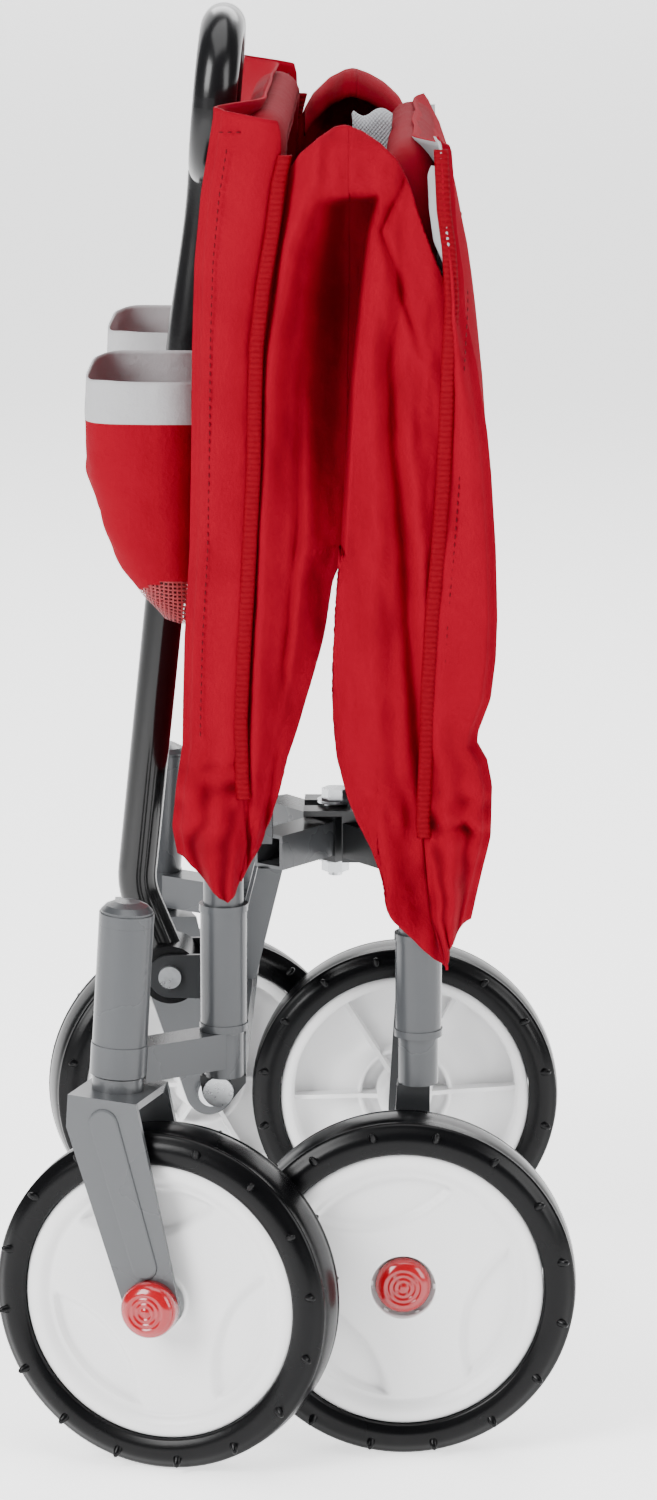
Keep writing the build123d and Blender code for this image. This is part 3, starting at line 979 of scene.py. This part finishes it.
# %% [markdown]
# ## Outlines of the folded canvas
#
# Folded, each side of the tub shows the edges of the end panels and the side wall
# between them. The outlines below are in millimetres. Those of the panels'
# corners and of the webbing that binds their edges are (height, forward place);
# those of the hump and of the gap between the legs are (forward place, height).

# %% Outline lists
FRONT_CORNER = [(732, -37.8), (691, -44.6), (654, -48.2), (609, -49.7), (549, -50.5),
                (501, -51.6), (453, -54.6), (416, -55.7), (394, -56.1), (371, -59.5),
                (349, -61.8), (332, -58.9), (324, -55.0), (308, -47.0)]
FRONT_BINDING = [(722, 1.5), (716, 0.5), (699, -3.7), (672, -7.3), (642, -12.3),
                 (612, -15.9), (581, -16.9), (549, -17.4), (519, -19.0),
                 (483, -20.9), (446, -23.2), (409, -25.1), (379, -24.4),
                 (340, -22.0), (316, -26.0)]
REAR_BINDING = [(722, 81.0), (683, 83.0), (663, 85.8), (635, 87.5), (607, 86.0),
                (549, 83.7), (537, 83.2), (501, 80.7), (464, 77.6), (428, 75.6),
                (391, 74.7), (353, 73.2), (300, 78.0), (272, 86.0)]
REAR_CORNER = [(724, 82.0), (714, 86.4), (699, 87.7), (672, 89.4), (649, 93.0),
               (627, 94.4), (600, 100.4), (564, 106.1), (542, 108.4), (501, 111.1),
               (464, 112.2), (442, 111.5), (420, 108.9), (402, 102.4), (394, 101.6),
               (385, 107.3), (372, 110.0), (344, 109.4), (325, 104.9), (297, 98.9),
               (272, 93.0)]
HUMP = [(2.5, 704), (7.3, 712), (17.2, 721), (25.7, 726), (30.4, 727), (39.6, 724),
        (49.3, 718), (57.7, 710), (64.6, 696), (70.4, 677), (76.1, 660), (80, 650)]
LEFT_GAP = [(31.1, 499), (24.4, 483), (19.9, 453), (10.7, 420), (5.3, 401),
            (-0.1, 386), (-3.5, 370), (-9.0, 353), (-14.5, 338), (-25, 320)]
RIGHT_GAP = [(31.1, 499), (28.8, 483), (26.6, 446), (26.2, 416), (28.9, 390),
             (34.4, 370), (41.4, 353), (50.6, 336), (57.7, 316), (58.4, 303),
             (68.9, 291), (83.3, 278), (92.0, 271)]
SIDE_Y = 189.0      # the plane of the side walls, out from the middle of the wagon
CENTRE_X = 33.0     # where the side walls fold
CROTCH = 499        # the height at which the two folded legs part


def crumple(x, y, z, size, seed):
    """Gentle uneven swelling, the same on every run."""
    point = Vector((x / size + seed * 7.3, y / size, z / size))
    return noise.noise(point) + 0.5 * noise.noise(point * 2.1)


def pleat(value, centre, width):
    """A soft ridge one unit high."""
    return math.exp(-((value - centre) / width) ** 2)


print("outline points:", len(FRONT_CORNER) + len(REAR_CORNER) + len(HUMP))

# %% [markdown]
# ## End panels
#
# Each end panel is one sheet bent to a shallow channel: it runs from the binding
# on the near side, round the corner, across the wagon, and back along the far
# side. The rows go down the panel, and each row follows the outline lists. The
# lower end is gathered and hangs as a pouch, so it swells and wrinkles there.

# %% Channel-shaped panel
SIDE_COUNT, ACROSS_COUNT, DOWN_COUNT = 28, 70, 150
TURN_AT = 0.86      # the share of a panel's side at which it starts round the corner


def panel_side(z, e, half, corner, binding, forward, seed, tie):
    """A point e of the way from the binding to the corner, and how much painted shade
    it gets.
    """
    u = min(1.0, e / TURN_AT)
    turn = max(0.0, (e - TURN_AT) / (1 - TURN_AT)) * math.pi / 2
    loose = smooth(420, 330, z)
    ripple = crumple(e * 30, half * 40, z, 26, seed)
    # The cloth bows out, is cinched in small wrinkles at the tie, and hangs as a
    # pouch below it.
    bow = 3.2 * math.sin(math.pi * u) + 1.1 * math.sin(math.pi * 2 * u + z / 60)
    pouch = 7.0 * pleat(z, tie - 38, 24) * math.sin(math.pi * u)
    gather = pouch + math.sin(u * 13 + 2.4 * ripple + z / 17) * 2.0 * loose
    gather += 2.2 * math.sin((z + 9 * ripple) / 2.6 + u * 4) * pleat(
        z, tie + 9 * ripple, 13)
    calm = smooth(0.0, 0.25, u)
    y = SIDE_Y + 0.8 + bow + (gather + 1.2 * ripple * (1 + loose)) * calm
    y -= 6.5 * math.sin(turn)
    x = mix(follow(binding, z), follow(corner, z) + forward * 5, u)
    x -= forward * 5 * (1 - math.cos(turn))
    # Painted shade: darker in the troughs of the gathered wrinkles and of the ripple,
    # more so low down where the cloth hangs loose.
    dip = max(0.0, (pouch - gather) / 4) + max(0.0, -ripple) * 0.35
    return (x, half * y, z), min(0.9, dip * (0.4 + 0.6 * loose))


def panel_rows(corner, binding, middle_x, top, bottom, forward, seed, far_drop=0,
               tie=374):
    """Rows of points from the near binding, across the panel, to the far one."""
    # Beside the points, each row keeps every point's painted shade; the middle of the
    # panel gets none.
    rows, folds = [], []
    for t in shares(DOWN_COUNT - 1):
        near, far = [], []
        for e in shares(SIDE_COUNT - 1):
            shared = (corner, binding, forward, seed, tie)
            near.append(panel_side(mix(top(e), bottom(e), t), e, -1, *shared))
            z = mix(top(e) - far_drop, bottom(e), t)
            (x, y, z), fold = panel_side(z, e, 1, *shared)
            far.append(((x - far_drop * 0.2 * smooth(560, 640, z), y, z), fold))
        near_corner, far_corner = near[-1][0], far[-1][0]
        across = []
        for w in shares(ACROSS_COUNT)[1:-1]:
            z = mix(top(1.0) - far_drop * smooth(0.9, 1.0, w), bottom(1.0), t)
            y = mix(near_corner[1], -near_corner[1], w)
            edge_x = mix(near_corner[0], far_corner[0], w)
            wave = 1.6 * crumple(y, 3, z, 55, seed + 2)
            across.append(((mix(middle_x(z) + wave, edge_x,
                                smooth(115, 182, abs(y))), y, z), 0.0))
        whole = near + across + far[::-1]
        rows.append([point for point, _ in whole])
        folds.append([fold for _, fold in whole])
    return rows, folds


def front_top(e):
    return 736 - 26 * smooth(0.16, 0.0, e) - 7 * (1 - e)


def front_bottom(e):
    return follow([(0, 322), (0.12, 313), (0.3, 309), (0.5, 311), (0.7, 321),
                   (0.9, 331), (1, 334)], e)


def rear_top(e):
    return mix(714, 722, smooth(0, 0.5, e)) - 6 * smooth(0.85, 1.0, e)


def rear_bottom(e):
    return follow([(0, 276), (0.2, 271), (0.45, 277), (0.8, 292), (1, 298)], e)


def front_middle(z):
    return follow([(736, -13), (730, -16), (716, -27), (700, -31), (370, -52),
                   (306, -51)], z)


def rear_middle(z):
    return follow([(724, 64), (716, 67), (700, 80), (685, 85), (400, 96),
                   (270, 97)], z)


rows, folds = panel_rows(FRONT_CORNER, FRONT_BINDING, front_middle, front_top,
                         front_bottom, 1, 1)
front_cloth = sheet_piece("front_panel_canvas", rows, [canvas_red], 1.4, fold=folds)
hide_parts("front_panel")
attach(front_cloth, "front_frame")
rows, folds = panel_rows(REAR_CORNER, REAR_BINDING, rear_middle, rear_top,
                         rear_bottom, -1, 4, far_drop=84, tie=352)
rear_cloth = sheet_piece("rear_panel_canvas", rows, [lining_grey, canvas_red], 1.4,
                         lining=1, fold=folds)
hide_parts("rear_panel")
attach(rear_cloth, "rear_frame")
print("panels:", len(front_cloth.data.polygons), len(rear_cloth.data.polygons))

# %% [markdown]
# ## Side walls
#
# Between the end panels each side wall folds in half. Cloth simulation would fold
# it too, but not into these folds, so each half, or leaf, is a patch between four
# curves: the binding, the hump above, the gap below, and the middle fold. Its
# depth comes from a rule: the cap of the hump rolls outwards, the cave under it
# sinks in, and pleats run down each leg.

# %% A patch between four curves
def patch_point(left, right, top, bottom, s, t):
    a, b, c, d = left(t), right(t), top(s), bottom(s)
    p00, p10, p01, p11 = top(0), top(1), bottom(0), bottom(1)
    out = []
    for i in (0, 1):
        blend_lr = mix(a[i], b[i], s)
        blend_tb = mix(c[i], d[i], t)
        corner = mix(mix(p00[i], p10[i], s), mix(p01[i], p11[i], s), t)
        out.append(blend_lr + blend_tb - corner)
    return out


def curve_of(points):
    """A function from 0..1 to a point on a soft line, by its length."""
    fine = soften(points, 90, 3)
    xs = np.array([p[0] for p in fine])
    zs = np.array([p[1] for p in fine])
    run = np.concatenate([[0], np.cumsum(np.hypot(np.diff(xs), np.diff(zs)))])
    run /= run[-1]
    return lambda t: (float(np.interp(t, run, xs)), float(np.interp(t, run, zs)))


def flip_pairs(points, low, high):
    """(height, place) pairs between two heights, as (place, height) from the top."""
    ends = [(follow(points, high), high)]
    ends += [(x, z) for z, x in sorted(points, reverse=True) if low < z < high]
    return ends + [(follow(points, low), low)]


RIDGE = [(720, 22), (700, 18), (687, 14), (664, 4.6), (642, 0.4), (621, -3.9),
         (592, -6.8), (540, -8.5), (480, -9.5), (420, -13), (360, -19), (310, -25)]
LIP = [(720, 60), (700, 52), (672, 45), (640, 41), (590, 36), (540, 33.5),
       (499, 31), (440, 26)]


CAVE = [(685, 28), (640, 38), (590, 32), (540, 22), (499, 13), (430, 9), (340, 6)]


def cave(mouth, z):
    """How deep the hollow under the hump is; it starts at the height of its mouth."""
    return follow([(727, 0), (mouth, 0)] + CAVE, z)


def hump_roll(z):
    """How far the rolled cloth of the hump stands out."""
    return 9.0 * smooth(684, 700, z) * (1 - smooth(716, 728, z))


def front_depth(x, z):
    """How far the front leaf stands out from the side plane, in millimetres."""
    ridge = follow(RIDGE, z)
    gap = CENTRE_X if z > CROTCH else follow([(b, a) for a, b in LEFT_GAP], z)
    q = (x - ridge) / max(6.0, gap - ridge)
    sink = cave(691, z) * (0.25 * smooth(0.0, 0.2, q) + 0.75 * smooth(0.15, 0.95, q))
    folds = 3.0 * pleat(x, ridge - 4, 4.5)
    folds += 3.4 * pleat(q, 0.45, 0.12) * smooth(640, 520, z)
    folds -= 6.0 * pleat(x, follow([(700, 1), (600, -13), (400, -22)], z), 2.6)
    folds -= 4.0 * pleat(x, follow([(640, 6), (520, 6), (430, -2), (360, -12)], z),
                         3.0) * smooth(620, 560, z)
    return hump_roll(z) * smooth(2, 18, x) + folds - sink


def rear_depth(x, z):
    """The same for the rear leaf."""
    lip = follow(LIP, z)
    sink = cave(692, z) * smooth(lip + 0.8, lip - 2.6, x) if z > CROTCH else 0.0
    valley = follow([(727, 66), (640, 60), (600, 54), (555, 57), (500, 62.5),
                     (435, 67), (372, 73), (300, 84)], z)
    crease = follow([(700, 62), (672, 50), (629, 64), (606, 72)], z)
    folds = -6.0 * pleat(x, valley, 3.6) * smooth(700, 560, z)
    folds += 4.5 * pleat(x, mix(lip, valley, 0.5), 6.5) * smooth(690, 640, z)
    folds += 3.2 * pleat(x, valley + 9, 4.0) * smooth(640, 560, z)
    folds -= 4.0 * pleat(x, crease, 2.6) * smooth(600, 625, z)
    return hump_roll(z) * smooth(82, 66, x) + folds - sink


LEAF_DOWN, LEAF_ACROSS, ROLLED_ROWS = 150, 64, 8


def leaf(name, side, curves, depth, seed, offset):
    """One half of a side wall; its first rows roll inwards over the top."""
    rows, shade = [], []
    for r in range(-ROLLED_ROWS, LEAF_DOWN):
        t = max(0.0, r / (LEAF_DOWN - 1))
        roll = max(0, -r) / ROLLED_ROWS * math.pi / 2
        row, line = [], []
        for s in shares(LEAF_ACROSS - 1):
            x, z = patch_point(*curves, s, t)
            low = smooth(420, 320, z)
            ripple = crumple(x * 1.6, side * 30, z * 0.55, 21, seed)
            fine = crumple(x, side * 10, z, 9, seed + 3)
            d = depth(x, z) + ripple * (1.8 + 2.0 * low) + fine * (0.5 + 0.9 * low)
            d -= 26 * math.sin(roll)
            z -= 14.4 * (1 - math.cos(roll))
            away = smooth(0, 16, abs(x - CENTRE_X))
            row.append((x, side * (SIDE_Y + offset * away + d), z))
            # Painted shade: darker where the leaf sinks in, in the troughs of the
            # ripple, and on the rolled-under rows at the top.
            line.append(min(0.45, max(0.0, -d / 22) * 0.45 + max(0.0, -ripple) * 0.2
                            + (0.25 if r < -ROLLED_ROWS / 2 else 0.0)))
        rows.append(row)
        shade.append(line)
    piece = sheet_piece(name, rows, [canvas_red], 1.3, fold=shade)
    return piece


hump_top = (CENTRE_X, 726.5)
hump_front = [p for p in HUMP if p[0] < CENTRE_X] + [hump_top]
hump_rear = [hump_top] + [p for p in HUMP if p[0] > CENTRE_X]
middle_fold = [hump_top, (CENTRE_X, 640), (32, 560), (31.1, CROTCH)]
FRONT_CURVES = (curve_of([(2.5, 704)] + flip_pairs(FRONT_BINDING, 320, 690)),
                curve_of(middle_fold), curve_of(hump_front),
                curve_of(list(reversed(LEFT_GAP))))
REAR_CURVES = (curve_of(middle_fold),
               curve_of([(80, 650)] + flip_pairs(REAR_BINDING, 271, 640)),
               curve_of(hump_rear), curve_of(RIGHT_GAP))
for side, label in ((-1, "near"), (1, "far")):
    front_leaf = leaf("front_side_leaf_" + label, side, FRONT_CURVES, front_depth,
                      5 + side, 0.0)
    rear_leaf = leaf("rear_side_leaf_" + label, side, REAR_CURVES, rear_depth,
                     5 + side, -1.4)
    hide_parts("side_walls_front")
    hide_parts("side_walls_rear")
    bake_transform(front_leaf)
    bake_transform(rear_leaf)
print("leaf faces:", len(front_leaf.data.polygons), len(rear_leaf.data.polygons))

# %% [markdown]
# ## Cloth sleeves over the end hoops
#
# The end panels hang from the frame by sleeves sewn round the upper tubes. A
# bevelled curve would make a perfect pipe. A sleeve is looser, so rings of points
# are swept along the hoop, up one post, across and down, and crumpled a little.

# %% Sleeves swept along the hoops
def hoop_line(post, half_y, top, low, corner=42.0):
    """Points (x, y, z) up the near post, across the top and down the far post."""
    line = [(follow(post, z), -half_y, z) for z in np.linspace(low, top - corner, 40)]
    for a in np.linspace(0, math.pi / 2, 14)[1:]:
        z = top - corner + corner * math.sin(a)
        line.append((follow(post, z), -half_y + corner * (1 - math.cos(a)), z))
    middle = [(follow(post, top), y, top)
              for y in np.linspace(corner - half_y, half_y - corner, 50)[1:-1]]
    return line + middle + [(x, -y, z) for x, y, z in reversed(line)]


SLEEVE_RADIUS, SLEEVE_AROUND = 12.2, 24


def hoop_sleeve(name, line, body, seed):
    rows = []
    for k, centre in enumerate(line):
        ahead = Vector(line[min(k + 1, len(line) - 1)]) - Vector(line[max(k - 1, 0)])
        ahead.normalize()
        side_way = Vector((1, 0, 0)) - ahead * ahead.x
        side_way.normalize()
        up_way = ahead.cross(side_way)
        row = []
        for share in shares(SLEEVE_AROUND):
            a = 2 * math.pi * share
            out = side_way * math.cos(a) + up_way * math.sin(a)
            loose = 0.7 * crumple(*(Vector(centre) + out * 9), 16, seed)
            row.append(tuple(Vector(centre) + out * (SLEEVE_RADIUS + loose)))
        rows.append(row)
    shade = [[0.3] * len(row) for row in rows]
    piece = sheet_piece(name, rows, [canvas_red], 0.9, 1.0, fold=shade)
    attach(piece, body)


FRONT_POST, REAR_POST = [(375, -35.4), (717, -13.4)], [(375, 71.1), (701, 65.6)]
hoop_sleeve("front_hoop_sleeve", hoop_line(FRONT_POST, 170, 717, 560),
            "front_frame", 2)
hoop_sleeve("rear_hoop_sleeve", hoop_line(REAR_POST, 158, 701, 540), "rear_frame", 6)
print("sleeves: 2")

# %% [markdown]
# ## Lining corners
#
# At the top of the rear panel the grey lining shows as a sliver inside the
# binding. It could be painted on the canvas, but it stands a little inwards, so
# each corner is a narrow strip of its own.

# %% Lining shown inside the rear top corner
LINING_TOP, LINING_LOW, LINING_ACROSS = 706, 652, 6
lining = []
for side in (-1, 1):
    rows = []
    for z in np.linspace(LINING_TOP, LINING_LOW, 28):
        edge = follow(REAR_BINDING, z) - 2.5
        wide = 4.5 * smooth(652, 668, z) * smooth(712, 700, z) + 0.6
        rows.append([(edge - wide * w, side * (SIDE_Y - 0.8 - 2.5 * w), z)
                     for w in shares(LINING_ACROSS)])
    lining.append(sheet_piece(f"lining_{side + 1}", rows, [lining_grey], 0.9))
rear_lining = join("rear_corner_lining", lining)
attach(rear_lining, "rear_frame")
print("lining corners:", len(lining))

# %% [markdown]
# ## Binding and stitches
#
# A ribbed webbing about 7 mm wide is sewn over the cut edges of each end panel.
# A bump would give ribs only in the light. Here they show in its outline too, so
# it is a narrow sheet whose rows rise and fall every three millimetres. The
# stitches beside it are real small beads, laid by the stitch tree.

# %% Ribbed binding
BINDING_WIDTH, RIB_PITCH, RIB_HEIGHT, ROW_STEP = 7.2, 3.0, 0.42, 0.75


def binding_rows(points, side, top, bottom):
    rows = []
    count = int((top - bottom) / ROW_STEP)
    for t in shares(count):
        z = mix(top, bottom, t)
        centre = follow(points, z)
        rise = RIB_HEIGHT * math.cos(2 * math.pi * (top - z) / RIB_PITCH)
        rows.append([(centre + e * BINDING_WIDTH,
                      side * (SIDE_Y + 3.0 + 1.5 * (1 - (2 * e) ** 4) + rise), z)
                     for e in (share - 0.5 for share in shares(6))])
    return rows


def binding(name, points, top, bottom, body, far_drop=0):
    made = []
    for side, start in ((-1, top), (1, top - far_drop)):
        rows = binding_rows(points, side, start, bottom)
        made.append(sheet_piece(f"{name}_{side + 1}", rows, [binding_red], 0.9))
    piece = join(name + "_webbing", made)
    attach(piece, body)


binding("front_binding", FRONT_BINDING, 712, 366, "front_frame")
binding("rear_binding", REAR_BINDING, 715, 345, "rear_frame", far_drop=86)
print("bindings: 2, each of", BINDING_WIDTH, "mm")

# %% Stitches on the panels
STITCH_STEP = 8
seams = []
for side in (-1, 1):
    seams.append([(follow(FRONT_CORNER, z) + 9.5, side * (SIDE_Y + 4.6), z)
                  for z in range(714, 400, -STITCH_STEP)])
    seams.append([(x, side * (SIDE_Y + 3.2), 724) for x in range(-34, -4, 3)])
front_seams = stitches("front_seam_stitches", seams, thread_red)
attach(front_seams, "front_frame")
seams = [[(follow(REAR_BINDING, z) + 8.5, side * (SIDE_Y + 3.6), z)
          for z in range(640, 350, -STITCH_STEP)] for side in (-1, 1)]
rear_seams = stitches("rear_seam_stitches", seams, thread_red)
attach(rear_seams, "rear_frame")
print("stitch faces:", len(front_seams.data.polygons),
      len(rear_seams.data.polygons))

# %% [markdown]
# ## Drink pockets
#
# Two open pockets hang on the front panel. Each has a grey band round the mouth,
# a red body that tapers, and a net bottom. A box with bevelled edges would look
# stiff, so a pocket is a loft of rounded U-shaped rows whose reach shrinks towards
# the bottom, with the sag of the mouth and the belly added to each.

# %% Pocket shells
POCKET_REACH = [(591, -109.5), (565, -109.0), (535, -106.0), (505, -98.5),
                (483, -89.0), (468, -79.0), (457, -68.0)]


POCKET_TOP, POCKET_LOW, POCKET_BACK = 589.5, 457.0, -51.5
BAND_LOW, NET_TOP = 566, 480
POCKET_DOWN, POCKET_ROUND, SQUARENESS = 66, 60, 0.36


def pocket_finish(r, c):
    """0 is the grey band, 1 the canvas and 2 the net."""
    z = mix(POCKET_TOP, POCKET_LOW, min(r, POCKET_DOWN - 1) / POCKET_DOWN)
    if z > BAND_LOW:
        return 0
    return 1 if z > NET_TOP - 8 * math.sin(math.pi * c / POCKET_ROUND) else 2


def pocket(name, low_y, high_y):
    rows = []
    centre = (low_y + high_y) / 2
    for t in shares(POCKET_DOWN):
        z = mix(POCKET_TOP, POCKET_LOW, t)
        half = (high_y - low_y) / 2 - 9 * smooth(520, 457, z)
        depth = POCKET_BACK - follow(POCKET_REACH, z)
        belly = math.sin(math.pi * t)
        row = []
        for share in shares(POCKET_ROUND):
            a = math.pi * share
            ahead, across = math.sin(a), math.cos(a)
            x = POCKET_BACK - depth * abs(ahead) ** SQUARENESS
            y = centre - half * math.copysign(abs(across) ** SQUARENESS, across)
            wave = crumple(x, y, z, 24, 3) * 2.2 * smooth(0.02, 0.35, t)
            sag = 3.0 * math.exp(-((ahead - 1) / 0.3) ** 2) * smooth(0.25, 0.0, t)
            sag += 1.32 * math.cos(a * 2) * smooth(0.2, 0, t)
            row.append((x - (2.5 * belly + wave) * ahead,
                        y - (0.6 * wave + 1.5 * belly) * across, z - sag))
        rows.append(row)
    # The last rows close the bottom towards the panel.
    last = rows[-1]
    for k in (1, 2, 3):
        rows.append([(mix(x, POCKET_BACK, k / 3), y, z - 1.5 * math.sin(k))
                     for x, y, z in last])
    return sheet_piece(name, rows, [band_grey, canvas_red, pocket_net], 1.2,
                       paint_index=pocket_finish)


for side, label in ((-1, "near"), (1, "far")):
    low_y, high_y = sorted((side * 38.0, side * 166.0))
    cup = pocket("drink_pocket_" + label, low_y, high_y)
    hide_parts("pocket_" + label)
    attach(cup, "front_frame")
print("pockets: 2")

# %% [markdown]
# ## Pull strap
#
# A loop of grey webbing is sewn to the middle of the floor. Pulling it up folds
# the wagon. A simulation would lose so narrow a band, so it is laid directly: up,
# over and down again, with the twill's fine ribs in its rows.

# %% Webbing loop
HALF_LOOP, LOOP_RISE = 4.5, 6.0


def strap_rows():
    """A doubled band: up on the near side, over the top, down on the far side."""
    low, high = (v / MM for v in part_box("pull_strap"))
    x_mid, half_x = (low.x + high.x) / 2, (high.x - low.x) / 2 + 2.5
    z_low, z_high = low.z + 3, high.z - 8.0
    line = [(-HALF_LOOP, z) for z in np.linspace(z_low, z_high, 60)]
    line += [(-HALF_LOOP * math.cos(a), z_high + LOOP_RISE * math.sin(a))
             for a in np.linspace(0.1, math.pi - 0.1, 14)]
    line += [(HALF_LOOP, z) for z in np.linspace(z_high, z_low, 60)]
    rows = []
    for k, (y, z) in enumerate(line):
        row = []
        for c, x in enumerate(np.linspace(-half_x, half_x, 25)):
            twill = 0.55 * math.cos(math.pi * (k + abs(c - 12)) / 3)
            sway = 2.2 * math.sin(x / 3.1) * smooth(680, 714, z)
            row.append((x_mid + x, y + math.copysign(twill, y), z + sway - 1.0))
        rows.append(row)
    return rows


strap = sheet_piece("pull_strap_webbing", strap_rows(), [strap_grey], 1.8)
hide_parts("pull_strap")
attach(strap, "rear_floor")
print("strap faces:", len(strap.data.polygons))

# %% [markdown]
# ## Floor pads
#
# A thin quilted pad lies on each floor board. The pad starts as a rounded slab a
# little thinner than the finished one, is blown up as cloth, and is then sewn
# down along its channels by pressing the surface in beside each seam.

# %% Quilted pads
PAD_LENGTH, PAD_WIDTH, PAD_START = 0.196, 0.264, 0.0052     # metres
MOST_SWELL, BLOW_FRAMES = 0.0018, 12
CHANNELS_ALONG, CHANNELS_ACROSS, SEAM_WIDTH = 0.065, 0.066, 0.004
PAD_MIDDLE, PAD_HEIGHT = 0.161, 0.0153      # along the board, and out from it


def quilt(x, y):
    """How much of the pad's thickness is left at this place by the sewing."""
    gap_x = abs((x + PAD_LENGTH / 2) % CHANNELS_ALONG - CHANNELS_ALONG / 2)
    gap_y = abs((y + PAD_WIDTH / 2) % CHANNELS_ACROSS - CHANNELS_ACROSS / 2)
    return 1 - 0.55 * math.exp(-(min(gap_x, gap_y) / SEAM_WIDTH) ** 2)


def blow_up(piece):
    rest = [v.co.copy() for v in piece.data.vertices]
    cloth = piece.modifiers.new("cloth", "CLOTH")
    cloth.settings.use_pressure = True
    cloth.settings.uniform_pressure_force = 4
    cloth.settings.effector_weights.gravity = 0
    cloth.point_cache.frame_start, cloth.point_cache.frame_end = 1, BLOW_FRAMES
    for step_frame in range(1, BLOW_FRAMES + 1):
        bpy.context.scene.frame_set(step_frame)
    settle(piece)
    bpy.context.scene.frame_set(1)
    for vertex, start in zip(piece.data.vertices, rest):
        move = vertex.co - start
        if move.length > MOST_SWELL:
            vertex.co = start + move * (MOST_SWELL / move.length)


def pad(name, hinge, apex, sign):
    """A pad on the board that runs from its hinge to the apex, both (x, z) in mm."""
    along = Vector((apex[0] - hinge[0], 0, apex[1] - hinge[1])).normalized()
    normal = Vector((along.z * sign, 0, -along.x * sign))
    shape = bmesh.new()
    bmesh.ops.create_cube(shape, size=1.0)
    bmesh.ops.subdivide_edges(shape, edges=shape.edges, cuts=6, use_grid_fill=True)
    for vertex in shape.verts:
        x, y, z = vertex.co
        crown = 1 - 0.45 * (abs(2 * x) ** 6 + abs(2 * y) ** 6) / 2
        vertex.co = (x * PAD_LENGTH, y * PAD_WIDTH, z * PAD_START * crown)
    piece = keep(name, fresh_mesh(name, shape), [pad_red])
    remesh = piece.modifiers.new("voxels", "REMESH")
    remesh.mode, remesh.voxel_size = "VOXEL", 0.004
    settle(piece)
    blow_up(piece)
    for vertex in piece.data.vertices:
        vertex.co.z *= quilt(vertex.co.x, vertex.co.y)
    fine = piece.modifiers.new("smooth", "SUBSURF")
    fine.levels = fine.render_levels = 1
    settle(piece)
    centre = Vector((hinge[0], 0, hinge[1])) * MM
    centre += along * PAD_MIDDLE + normal * PAD_HEIGHT
    board = Matrix((along, normal.cross(along), normal)).transposed().to_4x4()
    piece.data.transform(Matrix.Translation(centre) @ board)
    uv = piece.data.uv_layers.new(name="cloth")
    for loop in piece.data.loops:
        place = piece.data.vertices[loop.vertex_index].co
        uv.data[loop.index].uv = (place.y, (place - centre).dot(along))
    piece.data.shade_smooth()
    piece.data.materials.clear()
    piece.data.materials.append(pad_red)
    return piece


APEX, FRONT_HINGE, REAR_HINGE = (18.65, 637.73), (-17.85, 345), (55.15, 345)
front_pad = pad("floor_pad_quilted_front", FRONT_HINGE, APEX, -1)
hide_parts("floor_pad_front")
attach(front_pad, "front_floor")
rear_pad = pad("floor_pad_quilted_rear", REAR_HINGE, APEX, 1)
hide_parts("floor_pad_rear")
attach(rear_pad, "rear_floor")
for corner in (0, 6):
    print("front pad's corner:", [round(c, 3) for c in front_pad.bound_box[corner]])
